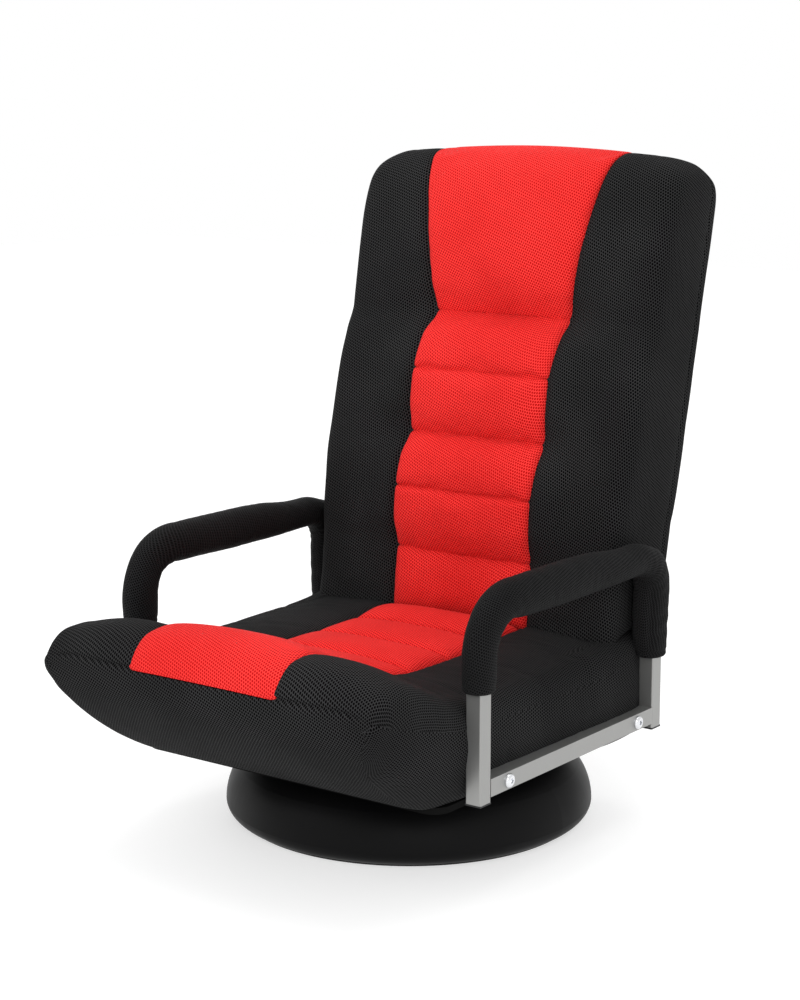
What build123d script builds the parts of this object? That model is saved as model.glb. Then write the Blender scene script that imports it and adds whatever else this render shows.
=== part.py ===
from build123d import *
import os
from math import cos, radians, sin, sqrt

# A floor chair that turns on a round base, with a ratchet back and fixed armrests.
# Millimetres. +Z is up, the chair faces -Y and the sitter's left is +X.
# The origin is on the floor, on the swivel axis.

# Clearances
RUNNING = 0.05
SLIDE = 0.2
SOFT = 1.0

# Heights of the stack from the floor up
SEAT_UNDERSIDE = 97.0
SWIVEL_HEIGHT = 10.0
BOARD_THICKNESS = 7.5
BAR_HEIGHT = 12.0
SEAT_TOP = 220.0
DECK_HEIGHT = SEAT_UNDERSIDE - SWIVEL_HEIGHT
PAD_BOTTOM = SEAT_UNDERSIDE + BOARD_THICKNESS

# Width of the seat, which the tubes, the back and the armrests follow
SEAT_HALF_WIDTH = 235.0

# Base
BASE_RADIUS = 222.0
BASE_FOOT_RADIUS = BASE_RADIUS - 13
BASE_RIM_HEIGHT = 19.0
BASE_WALL = 3.5
DECK_RADIUS = BASE_RADIUS - 82
DECK_HOLE_RADIUS = 21.0
RIB_COUNT = 12
RIB_THICKNESS = 3.0
RING_WIDTH = 9.0
RING_HEIGHT = 5.0
RING_SEAT_DEPTH = 2.0

# Turntable bearing
SWIVEL_SIZE = 160.0
PLATE_THICKNESS = 2.0
RACE_RADIUS = 50.0
RACE_WIDTH = 14.0
RACE_HEIGHT = 1.6
BALL_RADIUS = SWIVEL_HEIGHT / 2 - PLATE_THICKNESS
BALL_COUNT = 12
CAGE_THICKNESS = 1.4
CAGE_WIDTH = 10.0
RIVET_RADIUS = 14.0
RIVET_BORE = 11.0
RIVET_FLANGE = 4.0
RIVET_FLANGE_HEIGHT = 1.5
BASE_SCREW_PITCH = 112.0
BASE_SCREW_RADIUS = 2.5
SEAT_BOLT_PITCH = 140.0
SEAT_BOLT_RADIUS = 3.0
HEX_HEIGHT = 4.0
HEX_RADIUS = 5.7

# Steel tubes and bars
TUBE_RADIUS = 11.0
TUBE_WALL = 1.5
SEAT_TUBE_X = SEAT_HALF_WIDTH - 45
SEAT_TUBE_Z = PAD_BOTTOM + BAR_HEIGHT + TUBE_RADIUS
TUBE_BEND = 45.0
BAR_WIDTH = 34.0
BAR_WALL = 2.0

# Seat cushion
SEAT_CROWN = 1.5
LIP_FOOT_Y = -240.0
LIP_FRONT_Y = -379.0
LIP_TOP = 281.0
LIP_TUBE_Y = LIP_FRONT_Y + 60
LIP_TUBE_Z = LIP_TOP - 56
SEAT_REAR_Y = 128.0
PANEL_HALF_WIDTH = 100.0
PANEL_DEPTH = 14.0
CHANNEL_PITCH = 77.0
CHANNEL_BULGE = 6.0
SEAT_CHANNELS = 4

# Hinge line and back
HINGE_Y = 146.0
HINGE_Z = 158.0
LEAN = 12.5
NOTCH_PITCH = 15.5
NOTCHES = 6
LOBE_RADIUS = SEAT_TOP - HINGE_Z
LOBE_HALF_WIDTH = SEAT_TUBE_X
EAR_RADIUS = LOBE_RADIUS + 6
BACK_HALF_WIDTH = SEAT_HALF_WIDTH - 11
BACK_LENGTH = 647.0
BACK_REAR = 46.0
BACK_TUBE_TOP = BACK_LENGTH - 45
CREASE_U = 0.6646 * BACK_LENGTH
HEAD_HALF_WIDTH = 140.0
BACK_CHANNELS = 5

# Ratchet
SEAT_PLATE = 3.0
ARM_PLATE = 4.0
PIN_RADIUS = 5.0
PIN_HEAD_RADIUS = 9.0
PIN_HEAD = 3.0
TOOTH_TIP = 26.0
TOOTH_ROOT = 21.0
TOOTH_RELIEF = 4.4
PAWL_ANGLE = 215.0
PAWL_LIFT = 15.0
PAWL_REACH = 40.0
PAWL_EYE = 8.0
PAWL_PIN_RADIUS = 4.0
SEAT_PLATE_X = SEAT_TUBE_X + TUBE_RADIUS
ARM_PLATE_X = SEAT_PLATE_X - SLIDE - ARM_PLATE
BACK_TUBE_X = ARM_PLATE_X - TUBE_RADIUS
EAR_INNER_X = SEAT_PLATE_X + SEAT_PLATE + PIN_HEAD + SOFT
PAWL_PIN = (HINGE_Y - PAWL_REACH, HINGE_Z)

# Armrests
ARM_TUBE = 20.0
ARM_X = SEAT_HALF_WIDTH + SOFT + ARM_TUBE / 2
ARM_WALL = 1.5
POST_BOTTOM = 112.0
ARM_HEIGHT = 323.0
FRONT_POST_Y = -209.0
REAR_POST_Y = 152.0
FRONT_BEND = 62.0
REAR_BEND = 46.0
RAIL_Z = SEAT_TUBE_Z
FRONT_BOLT_Y = -165.0
REAR_BOLT_Y = 108.0
ARM_BOLT_RADIUS = 4.0
BUTTON_RADIUS = 8.0
BUTTON_HEIGHT = 4.5
SOCKET_RADIUS = 2.9
BUSH_RADIUS = 8.0
SLEEVE_RADIUS = 21.0
SLEEVE_FRONT_END = 230.0
SLEEVE_REAR_END = 193.0
PLUG_DEPTH = 14.0
ARM_INNER_X = ARM_X - ARM_TUBE / 2
ARM_OUTER_X = ARM_X + ARM_TUBE / 2


# Shared helpers


def slab(face, x_start, x_end):
    """Extrude a face drawn in (y, z) from one x to another."""
    return extrude(Plane.YZ.offset(x_start) * face, x_end - x_start)


def back_plane(x):
    """Plane across the hinge line at x: its first axis runs up the back, its second to the front."""
    lean = radians(LEAN)
    return Plane(origin=(x, HINGE_Y, HINGE_Z), x_dir=(0, sin(lean), cos(lean)), z_dir=(1, 0, 0))


def back_slab(face, x_start, x_end):
    """Extrude a face drawn along the back from one x to another."""
    return extrude(back_plane(x_start) * face, x_end - x_start)


def rod_x(radius, x_start, x_end, y, z):
    """Round rod along X."""
    return slab(Pos(y, z) * Circle(radius), x_start, x_end)


def hex_x(radius, x_start, x_end, y, z):
    """Hexagonal rod along X."""
    return slab(Pos(y, z) * RegularPolygon(radius, 6), x_start, x_end)


def rod_z(radius, z_start, z_end, x, y):
    """Round rod along Z."""
    return extrude(Pos(x, y, z_start) * Circle(radius), z_end - z_start)


def hull_of(*circles):
    """Hull around circles given as (y, z, radius)."""
    edges = []
    for y, z, radius in circles:
        edges += (Pos(y, z) * Circle(radius)).edges()
    return make_hull(edges)


def around_hinge(radius, angle):
    """Point in (y, z) at a radius and an angle from the hinge line, +Y being 0 and +Z 90 degrees."""
    turn = radians(angle)
    return (HINGE_Y + radius * cos(turn), HINGE_Z + radius * sin(turn))


def pattern(pitch):
    """Four centres on a square."""
    half = pitch / 2
    return [(-half, -half), (half, -half), (half, half), (-half, half)]


def other_side(shape):
    """The same piece on the sitter's right."""
    return mirror(shape, about=Plane.YZ)


def tube_along(path, radius, wall=None):
    """Round tube, or a round bar without a wall, along a path."""
    section = Circle(radius)
    if wall:
        section -= Circle(radius - wall)
    return sweep(Plane(origin=path @ 0, z_dir=path % 0) * section, path=path)


def closed(edges):
    """Face inside a closed run of edges."""
    return make_face(edges)


# Base


def base_dome(inset, floor_z, foot_radius):
    """Solid of revolution under the dome's outline, set in by a wall."""
    rim = (BASE_RADIUS - inset, BASE_RIM_HEIGHT)
    shoulder = (BASE_RADIUS - 16 - 0.85 * inset, BASE_RIM_HEIGHT + 44 - 0.5 * inset)
    deck = (DECK_RADIUS - 0.4 * inset, DECK_HEIGHT - inset)
    skirt = TangentArc(rim, shoulder, tangent=(0, 1))
    shoulder_arc = TangentArc(shoulder, deck, tangent=skirt % 1)
    foot_mid = (
        (foot_radius + rim[0]) / 2 + 0.2 * (rim[0] - foot_radius),
        (floor_z + rim[1]) / 2 - 0.1 * (rim[1] - floor_z),
    )
    outline = [
        Line((0, floor_z), (foot_radius, floor_z)),
        ThreePointArc((foot_radius, floor_z), foot_mid, rim),
        skirt,
        shoulder_arc,
        Line(deck, (0, deck[1])),
        Line((0, deck[1]), (0, floor_z)),
    ]
    return revolve(Plane.XZ * closed(outline), Axis.Z)


def base_shell():
    """Moulded dome with a flat deck, a foot flange, radial ribs and a central hole."""
    bottom = RING_HEIGHT - RING_SEAT_DEPTH
    flange_radius = BASE_FOOT_RADIUS - RING_WIDTH - 2 * BASE_WALL
    flange_top = bottom + RING_SEAT_DEPTH + BASE_WALL
    cavity = base_dome(BASE_WALL, flange_top, BASE_FOOT_RADIUS)
    shell = base_dome(0, bottom, BASE_FOOT_RADIUS) - cavity
    shell -= rod_z(flange_radius, 0, flange_top + 1, 0, 0)
    rib_height = DECK_HEIGHT - 42
    rib = Pos(BASE_RADIUS / 2 + 20, 0, DECK_HEIGHT - rib_height / 2)
    rib = (rib * Box(BASE_RADIUS - 40, RIB_THICKNESS, rib_height)) & cavity
    for index in range(RIB_COUNT):
        shell += Rot(0, 0, 360 / RIB_COUNT * (index + 0.5)) * rib
    shell -= floor_ring()
    shell -= rod_z(DECK_HOLE_RADIUS, 0, DECK_HEIGHT + 1, 0, 0)
    for x, y in pattern(BASE_SCREW_PITCH):
        shell -= rod_z(BASE_SCREW_RADIUS + SLIDE, 0, DECK_HEIGHT + 1, x, y)
        shell -= rod_z(2.4 * BASE_SCREW_RADIUS, 0, DECK_HEIGHT - BASE_WALL, x, y)
    return shell


def floor_ring():
    """Rubber ring let into the foot of the base."""
    outer = BASE_FOOT_RADIUS - BASE_WALL
    ring = Circle(outer) - Circle(outer - RING_WIDTH)
    return extrude(ring, RING_HEIGHT)


def base_screws():
    """Pan-head screws up through the deck into the lower plate."""
    head_top = DECK_HEIGHT - BASE_WALL
    screws = []
    for x, y in pattern(BASE_SCREW_PITCH):
        head = rod_z(2 * BASE_SCREW_RADIUS, head_top - 3, head_top, x, y)
        slot = Pos(x, y, head_top - 3) * Box(6, 1, 2)
        shank = rod_z(BASE_SCREW_RADIUS, head_top, DECK_HEIGHT + PLATE_THICKNESS, x, y)
        screws.append(head - slot + shank)
    return Compound(children=screws)


# Turntable bearing


def race_plate(mirrored):
    """Square plate with a raised ball race, lying on z = 0, or hanging from it when mirrored."""
    plate = extrude(RectangleRounded(SWIVEL_SIZE, SWIVEL_SIZE, 12), PLATE_THICKNESS)
    race = Circle(RACE_RADIUS + RACE_WIDTH / 2) - Circle(RACE_RADIUS - RACE_WIDTH / 2)
    plate += extrude(Pos(0, 0, PLATE_THICKNESS) * race, RACE_HEIGHT)
    plate -= Pos(0, 0, SWIVEL_HEIGHT / 2) * Torus(RACE_RADIUS, BALL_RADIUS + RUNNING)
    if mirrored:
        plate = mirror(plate, about=Plane.XY)
    return plate


def swivel_lower_plate():
    """Lower race plate, screwed to the deck and riveted at its centre."""
    plate = Pos(0, 0, DECK_HEIGHT) * race_plate(False)
    plate -= rod_z(RIVET_RADIUS, DECK_HEIGHT - 1, DECK_HEIGHT + SWIVEL_HEIGHT, 0, 0)
    for x, y in pattern(BASE_SCREW_PITCH):
        plate -= rod_z(BASE_SCREW_RADIUS, DECK_HEIGHT - 1, DECK_HEIGHT + 5, x, y)
    return plate


def swivel_upper_plate():
    """Upper race plate, which turns round the rivet under the seat."""
    plate = Pos(0, 0, SEAT_UNDERSIDE) * race_plate(True)
    plate -= rod_z(RIVET_RADIUS + RUNNING, DECK_HEIGHT, SEAT_UNDERSIDE + 1, 0, 0)
    for x, y in pattern(SEAT_BOLT_PITCH):
        plate -= rod_z(SEAT_BOLT_RADIUS + SLIDE, DECK_HEIGHT, SEAT_UNDERSIDE + 1, x, y)
    return plate


def swivel_rivet():
    """Hollow rivet that holds the two plates together."""
    low, high = DECK_HEIGHT, SEAT_UNDERSIDE + RUNNING
    flange = RIVET_RADIUS + RIVET_FLANGE
    rivet = rod_z(flange, low - RIVET_FLANGE_HEIGHT, low, 0, 0)
    rivet += rod_z(RIVET_RADIUS, low, high, 0, 0)
    rivet += rod_z(flange, high, high + RIVET_FLANGE_HEIGHT, 0, 0)
    return rivet - rod_z(RIVET_BORE, low - 5, high + 5, 0, 0)


def ball_centres():
    """Centres of the balls round the race."""
    return PolarLocations(RACE_RADIUS, BALL_COUNT)


def bearing_balls():
    """Ring of steel balls between the races."""
    balls = []
    for place in ball_centres():
        balls.append(Pos(0, 0, DECK_HEIGHT + SWIVEL_HEIGHT / 2) * place * Sphere(BALL_RADIUS))
    return Compound(children=balls)


def ball_cage():
    """Flat ring that keeps the balls apart."""
    ring = Circle(RACE_RADIUS + CAGE_WIDTH / 2) - Circle(RACE_RADIUS - CAGE_WIDTH / 2)
    for place in ball_centres():
        ring -= place * Circle(BALL_RADIUS + 2 * RUNNING)
    middle = DECK_HEIGHT + SWIVEL_HEIGHT / 2
    return extrude(Pos(0, 0, middle - CAGE_THICKNESS / 2) * ring, CAGE_THICKNESS)


def swivel_bolts():
    """Hex bolts up through the upper plate, the board and the mount bars."""
    head_top = SEAT_UNDERSIDE - PLATE_THICKNESS
    end = PAD_BOTTOM + BAR_HEIGHT + HEX_HEIGHT + 2
    bolts = []
    for x, y in pattern(SEAT_BOLT_PITCH):
        head = extrude(Pos(x, y, head_top - HEX_HEIGHT) * RegularPolygon(HEX_RADIUS, 6), HEX_HEIGHT)
        bolts.append(head + rod_z(SEAT_BOLT_RADIUS, head_top, end, x, y))
    return Compound(children=bolts)


def swivel_nuts():
    """Hex nuts on the mount bars."""
    floor = PAD_BOTTOM + BAR_HEIGHT
    nuts = []
    for x, y in pattern(SEAT_BOLT_PITCH):
        nut = extrude(Pos(x, y, floor) * RegularPolygon(HEX_RADIUS, 6), HEX_HEIGHT)
        nuts.append(nut - rod_z(SEAT_BOLT_RADIUS, floor - 1, floor + HEX_HEIGHT + 1, x, y))
    return Compound(children=nuts)


def mount_bar(y):
    """Rectangular steel bar across the seat, under its side tubes."""
    length = 2 * (SEAT_TUBE_X + TUBE_RADIUS / 2)
    middle = Pos(0, y, PAD_BOTTOM + BAR_HEIGHT / 2)
    bar = middle * Box(length, BAR_WIDTH, BAR_HEIGHT)
    bar -= middle * Box(length + 2, BAR_WIDTH - 2 * BAR_WALL, BAR_HEIGHT - 2 * BAR_WALL)
    for side in (-1, 1):
        x = side * SEAT_BOLT_PITCH / 2
        bar -= rod_z(SEAT_BOLT_RADIUS + SLIDE, PAD_BOTTOM - 1, PAD_BOTTOM + BAR_HEIGHT + 1, x, y)
    return bar


# Seat


def seat_tube_path():
    """Line of the bent seat tube: from one hinge forward, up into the lip, across and back."""
    bend_y = LIP_FOOT_Y + 52
    end_y = HINGE_Y - LOBE_RADIUS - 22
    points = [
        (-SEAT_TUBE_X, end_y, SEAT_TUBE_Z),
        (-SEAT_TUBE_X, bend_y, SEAT_TUBE_Z),
        (-SEAT_TUBE_X, LIP_TUBE_Y, LIP_TUBE_Z),
        (SEAT_TUBE_X, LIP_TUBE_Y, LIP_TUBE_Z),
        (SEAT_TUBE_X, bend_y, SEAT_TUBE_Z),
        (SEAT_TUBE_X, end_y, SEAT_TUBE_Z),
    ]
    return FilletPolyline(*points, radius=TUBE_BEND)


def arm_bush(x_start, y):
    """Threaded bush that takes an armrest bolt."""
    bush = rod_x(BUSH_RADIUS, x_start, ARM_INNER_X, y, RAIL_Z)
    return bush - rod_x(ARM_BOLT_RADIUS, x_start - 1, ARM_INNER_X + 1, y, RAIL_Z)


def seat_frame():
    """Bent seat tube with the two front bushes welded to its sides."""
    frame = tube_along(seat_tube_path(), TUBE_RADIUS, TUBE_WALL)
    bush = arm_bush(SEAT_TUBE_X + TUBE_RADIUS - TUBE_WALL, FRONT_BOLT_Y)
    frame += bush
    frame += other_side(bush)
    hole = rod_x(ARM_BOLT_RADIUS, SEAT_TUBE_X, ARM_INNER_X, FRONT_BOLT_Y, RAIL_Z)
    return frame - hole - other_side(hole)


def seat_bottom_board():
    """Flat panel under the seat, clamped between the turntable and the mount bars."""
    front = LIP_FOOT_Y + 2
    rear = HINGE_Y - LOBE_RADIUS * 0.62
    outline = RectangleRounded(2 * SEAT_HALF_WIDTH - 40, rear - front, 22)
    board = extrude(Pos(0, (front + rear) / 2, SEAT_UNDERSIDE) * outline, BOARD_THICKNESS)
    board -= rod_z(RIVET_RADIUS + RIVET_FLANGE + SOFT, SEAT_UNDERSIDE - 1, PAD_BOTTOM + 1, 0, 0)
    for x, y in pattern(SEAT_BOLT_PITCH):
        board -= rod_z(SEAT_BOLT_RADIUS + SLIDE, SEAT_UNDERSIDE - 1, PAD_BOTTOM + 1, x, y)
    return board


def seat_section(inset):
    """Side outline of the seat cushion in (y, z), set in from its full size."""
    bottom = PAD_BOTTOM + max(0, 0.5 * inset)
    top = SEAT_TOP - 0.8 * inset
    rear_low = (SEAT_REAR_Y, bottom)
    foot = (LIP_FOOT_Y + 0.6 * inset, bottom)
    nose_low = (LIP_FRONT_Y + 12 + 0.9 * inset, LIP_TOP - 68)
    nose = (LIP_FRONT_Y + 0.9 * inset, LIP_TOP - 49 - 0.2 * inset)
    seam = (LIP_FRONT_Y + 6 + 0.9 * inset, LIP_TOP - 34 - 0.4 * inset)
    crest = (LIP_FRONT_Y + 38 + 0.7 * inset, LIP_TOP - 2 - inset)
    lip_back = (LIP_FRONT_Y + 92, LIP_TOP - 14 - inset)
    dip = (LIP_FRONT_Y + 155, top + 16)
    flat_start = (LIP_FRONT_Y + 239, top)
    flat_end = (SEAT_REAR_Y - 70, top)
    rear_top = (SEAT_REAR_Y, top + 7)
    return closed(
        [
            Line(rear_low, foot),
            Line(foot, nose_low),
            ThreePointArc(nose_low, nose, seam),
            ThreePointArc(seam, crest, lip_back),
            ThreePointArc(lip_back, dip, flat_start),
            Line(flat_start, flat_end),
            Line(flat_end, rear_top),
            Line(rear_top, rear_low),
        ]
    )


def seat_body():
    """Crowned seat cushion, its sides drawn in, before its hollows are cut."""
    stations = ((0.51, 0), (0.877, 1.5), (0.97, 8), (1, 20))
    sections = []
    for share, inset in reversed(stations):
        sections.append(Plane.YZ.offset(-share * SEAT_HALF_WIDTH) * seat_section(inset))
    sections.append(Plane.YZ * seat_section(-SEAT_CROWN))
    for share, inset in stations:
        sections.append(Plane.YZ.offset(share * SEAT_HALF_WIDTH) * seat_section(inset))
    return loft(sections)


def ear():
    """Padded ear of the seat that covers the left hinge from outside."""
    disc = rod_x(EAR_RADIUS, EAR_INNER_X, BACK_HALF_WIDTH, HINGE_Y, HINGE_Z)
    outer = disc.faces().sort_by(Axis.X)[-1]
    disc = fillet(outer.edges(), 9)
    reach = 2 * EAR_RADIUS + 20
    keep = Pos(BACK_HALF_WIDTH, HINGE_Y, PAD_BOTTOM + reach / 2) * Box(100, reach, reach)
    return disc & keep


def back_sweep():
    """Room the back takes behind the seat when it is most upright."""
    front = LOBE_RADIUS + 4 * SOFT
    face = Pos(150, front - 200) * Rectangle(300, 400)
    return back_slab(face, -300, 300)


def panel_floor():
    """Run of edges along the floor of the seat's centre recess, from the nose to the rear."""
    depth = PANEL_DEPTH
    start = (LIP_FRONT_Y + 7, LIP_TOP - 36)
    inner = (LIP_FRONT_Y + 18, LIP_TOP - 39)
    crest = (LIP_FRONT_Y + 42, LIP_TOP - 4 - depth)
    lip_back = (LIP_FRONT_Y + 88, LIP_TOP - 14 - depth)
    dip = (LIP_FRONT_Y + 152, SEAT_TOP + 17 - depth)
    flat = (LIP_FRONT_Y + 236, SEAT_TOP - depth)
    rear = (SEAT_REAR_Y + 40, SEAT_TOP - depth)
    return [
        Line(start, inner),
        ThreePointArc(inner, crest, lip_back),
        ThreePointArc(lip_back, dip, flat),
        Line(flat, rear),
    ]


def seat_recess():
    """Recess along the middle of the seat that takes the red panel."""
    floor = panel_floor()
    rear = floor[-1] @ 1
    front = floor[0] @ 0
    lid = LIP_TOP + 60
    edges = floor + [
        Line(rear, (rear.X, lid)),
        Line((rear.X, lid), (front.X - 20, lid)),
        Line((front.X - 20, lid), (front.X - 20, front.Y)),
        Line((front.X - 20, front.Y), front),
    ]
    return slab(closed(edges), -PANEL_HALF_WIDTH, PANEL_HALF_WIDTH)


def seat_panel_section(lift):
    """Side outline of the red seat panel: over the lip, through the dip and along the channels."""
    floor = panel_floor()
    front = floor[0] @ 0
    rear = floor[-1] @ 1
    crest = (LIP_FRONT_Y + 36, LIP_TOP + 1 + lift)
    lip_back = (LIP_FRONT_Y + 92, LIP_TOP - 13 + lift)
    dip = (LIP_FRONT_Y + 138, SEAT_TOP + 23)
    first = SEAT_REAR_Y - 24 - SEAT_CHANNELS * CHANNEL_PITCH
    groove = SEAT_TOP - 1
    edges = floor + [
        ThreePointArc((front.X, front.Y), crest, lip_back),
        ThreePointArc(lip_back, dip, (first, groove)),
    ]
    for index in range(SEAT_CHANNELS):
        start = first + index * CHANNEL_PITCH
        middle = (start + CHANNEL_PITCH / 2, groove + CHANNEL_BULGE - 3 + lift)
        edges.append(ThreePointArc((start, groove), middle, (start + CHANNEL_PITCH, groove)))
    last = (first + SEAT_CHANNELS * CHANNEL_PITCH, groove)
    edges.append(Line(last, (rear.X, groove)))
    edges.append(Line((rear.X, groove), rear))
    return closed(edges)


def seat_centre_panel():
    """Red channelled panel of the seat, crowned across its width."""
    sections = []
    for share, lift in ((-1, 0), (-0.6, 2.4), (0, 3), (0.6, 2.4), (1, 0)):
        sections.append(Plane.YZ.offset(share * PANEL_HALF_WIDTH) * seat_panel_section(lift))
    return loft(sections) - back_sweep() - hinge_room(PANEL_HALF_WIDTH)


def hinge_room(half_width):
    """Hollow behind the seat in which the back's rounded end turns."""
    return rod_x(LOBE_RADIUS + 1.5 * SOFT, -half_width, half_width, HINGE_Y, HINGE_Z)


def seat_hollows():
    """Hollows in the seat cushion for the steelwork."""
    cuts = [tube_along(seat_tube_path(), TUBE_RADIUS + SLIDE)]
    for y in (-SEAT_BOLT_PITCH / 2, SEAT_BOLT_PITCH / 2):
        middle = Pos(0, y, PAD_BOTTOM + BAR_HEIGHT / 2)
        length = 2 * (SEAT_TUBE_X + TUBE_RADIUS / 2 + SLIDE)
        cuts.append(middle * Box(length, BAR_WIDTH + 2 * SLIDE, BAR_HEIGHT + 2 * SLIDE))
    for x, y in pattern(SEAT_BOLT_PITCH):
        cuts.append(rod_z(HEX_RADIUS + SOFT, PAD_BOTTOM, PAD_BOTTOM + BAR_HEIGHT + 9, x, y))
    cuts.append(rod_z(RIVET_RADIUS + RIVET_FLANGE + SOFT, PAD_BOTTOM - 5, PAD_BOTTOM + 2, 0, 0))
    plate = slab(hinge_plate_outline(SOFT), SEAT_PLATE_X - SLIDE, SEAT_PLATE_X + SEAT_PLATE + SLIDE)
    cuts += [plate, other_side(plate)]
    for y in (FRONT_BOLT_Y, REAR_BOLT_Y):
        bush = rod_x(BUSH_RADIUS + SLIDE, SEAT_TUBE_X, ARM_INNER_X + 5, y, RAIL_Z)
        cuts += [bush, other_side(bush)]
    return cuts


def seat_pad():
    """Seat cushion with its lip, its ears and its hollows."""
    pad = seat_body() - hinge_room(EAR_INNER_X)
    below = Pos(0, 0, PAD_BOTTOM - 25) * Box(4 * SEAT_HALF_WIDTH, 4 * SEAT_HALF_WIDTH, 50)
    pad -= below
    pad -= back_sweep()
    left = ear()
    pad = pad + left + other_side(left)
    pad -= seat_recess()
    for cut in seat_hollows():
        pad -= cut
    return pad


# Ratchet hinge, left side


def hinge_plate_outline(grow):
    """Outline of the seat's hinge plate: along the tube, round the hinge pin and the bolt."""
    end_y = HINGE_Y - LOBE_RADIUS - 22
    return hull_of(
        (end_y - 45, SEAT_TUBE_Z, TUBE_RADIUS + grow),
        (end_y, SEAT_TUBE_Z, TUBE_RADIUS + grow),
        (REAR_BOLT_Y, RAIL_Z, BUSH_RADIUS + 4 + grow),
        (HINGE_Y, HINGE_Z, 22 + grow),
        (PAWL_PIN[0], PAWL_PIN[1], PAWL_EYE + 3 + grow),
    )


def hinge_plate():
    """Steel plate on the seat tube that carries the hinge pin, the pawl pin and a bush."""
    plate = slab(hinge_plate_outline(0), SEAT_PLATE_X, SEAT_PLATE_X + SEAT_PLATE)
    plate += arm_bush(SEAT_PLATE_X + SEAT_PLATE, REAR_BOLT_Y)
    plate -= rod_x(ARM_BOLT_RADIUS, SEAT_PLATE_X - 1, ARM_INNER_X, REAR_BOLT_Y, RAIL_Z)
    plate -= rod_x(PIN_RADIUS, SEAT_PLATE_X - 1, SEAT_PLATE_X + 9, HINGE_Y, HINGE_Z)
    plate -= rod_x(PAWL_PIN_RADIUS, SEAT_PLATE_X - 1, SEAT_PLATE_X + 9, *PAWL_PIN)
    return plate


def hinge_pin():
    """Headed pin through the seat's plate and the back's arm."""
    low = ARM_PLATE_X - SLIDE
    high = SEAT_PLATE_X + SEAT_PLATE
    pin = rod_x(PIN_HEAD_RADIUS, low - PIN_HEAD, low, HINGE_Y, HINGE_Z)
    pin += rod_x(PIN_RADIUS, low, high, HINGE_Y, HINGE_Z)
    return pin + rod_x(PIN_HEAD_RADIUS, high, high + PIN_HEAD, HINGE_Y, HINGE_Z)


def pawl_pin():
    """Headed pin the pawl turns on."""
    low = ARM_PLATE_X - SLIDE
    pin = rod_x(PAWL_PIN_RADIUS + 2, low - 2, low, *PAWL_PIN)
    return pin + rod_x(PAWL_PIN_RADIUS, low, SEAT_PLATE_X + SEAT_PLATE, *PAWL_PIN)


def pawl():
    """Pawl, stored lifted clear of the teeth."""
    nose_angle = PAWL_ANGLE - 0.8
    neck = around_hinge(TOOTH_TIP + 5.5, PAWL_ANGLE - 3.5)
    body = hull_of((PAWL_PIN[0], PAWL_PIN[1], PAWL_EYE), (neck[0], neck[1], 3.5))
    corners = [
        around_hinge(TOOTH_ROOT + 0.6, nose_angle),
        around_hinge(TOOTH_TIP + 6, nose_angle + 0.2),
        around_hinge(TOOTH_TIP + 6, PAWL_ANGLE - 9),
        around_hinge(TOOTH_TIP + 1.5, PAWL_ANGLE - 10),
        around_hinge(TOOTH_ROOT + 2.4, nose_angle - 2.4),
    ]
    outline = body + make_face(Polyline(*corners, close=True))
    outline -= Pos(*PAWL_PIN) * Circle(PAWL_PIN_RADIUS + RUNNING)
    engaged = slab(outline, ARM_PLATE_X, ARM_PLATE_X + ARM_PLATE)
    return engaged.rotate(Axis((0, *PAWL_PIN), (1, 0, 0)), -PAWL_LIFT)


def pawl_spring():
    """Leaf spring on the seat's plate, under the pawl."""
    root = (PAWL_PIN[0] - 12, PAWL_PIN[1] - 13)
    knee = (PAWL_PIN[0] - 6, PAWL_PIN[1] - 24)
    tip = (PAWL_PIN[0] + 6, PAWL_PIN[1] - 26)
    line = Polyline(root, knee, tip)
    leaf = trace(line, 0.8)
    return slab(leaf, SEAT_PLATE_X - ARM_PLATE, SEAT_PLATE_X)


def ratchet_outline():
    """Toothed end of the back's arm, drawn in (y, z) at rest."""
    first = 0
    last = NOTCHES - 1
    points = []
    for index in range(first, last + 1):
        angle = PAWL_ANGLE + index * NOTCH_PITCH
        points.append(around_hinge(TOOTH_ROOT, angle))
        points.append(around_hinge(TOOTH_TIP, angle + TOOTH_RELIEF))
    end = PAWL_ANGLE + (last + 1) * NOTCH_PITCH
    points.append(around_hinge(TOOTH_ROOT - 4, end))
    points.append(around_hinge(TOOTH_ROOT - 4, end + 60))
    points.append(around_hinge(TOOTH_ROOT - 4, end + 110))
    points.append(around_hinge(TOOTH_ROOT - 4, PAWL_ANGLE + (first - 1) * NOTCH_PITCH))
    points.append(around_hinge(TOOTH_TIP, PAWL_ANGLE + (first - 1) * NOTCH_PITCH + TOOTH_RELIEF))
    return make_face(Polyline(*points, close=True))


def arm_outline(grow):
    """Outline of the back's hinge arm, drawn along the back."""
    return hull_of((0, 0, TOOTH_ROOT - 4 + grow), (TOOTH_ROOT + 90, 0, TUBE_RADIUS + grow))


def hinge_arm():
    """Flat arm of the back with its ratchet teeth and pin hole."""
    arm = back_slab(arm_outline(0), ARM_PLATE_X, ARM_PLATE_X + ARM_PLATE)
    arm += slab(ratchet_outline(), ARM_PLATE_X, ARM_PLATE_X + ARM_PLATE)
    return arm - rod_x(PIN_RADIUS + RUNNING, ARM_PLATE_X - 1, ARM_PLATE_X + 9, HINGE_Y, HINGE_Z)


# Back


def back_tube_path():
    """Line of the bent back tube: up one side, across the top and down the other."""
    start = TOOTH_TIP + 20
    plane = back_plane(0)
    corners = [
        (start, -BACK_TUBE_X),
        (BACK_TUBE_TOP, -BACK_TUBE_X),
        (BACK_TUBE_TOP, BACK_TUBE_X),
        (start, BACK_TUBE_X),
    ]
    points = []
    for along, x in corners:
        points.append(plane.from_local_coords(Vector(along, 0, x)))
    return FilletPolyline(*points, radius=1.6 * TUBE_BEND)


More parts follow.
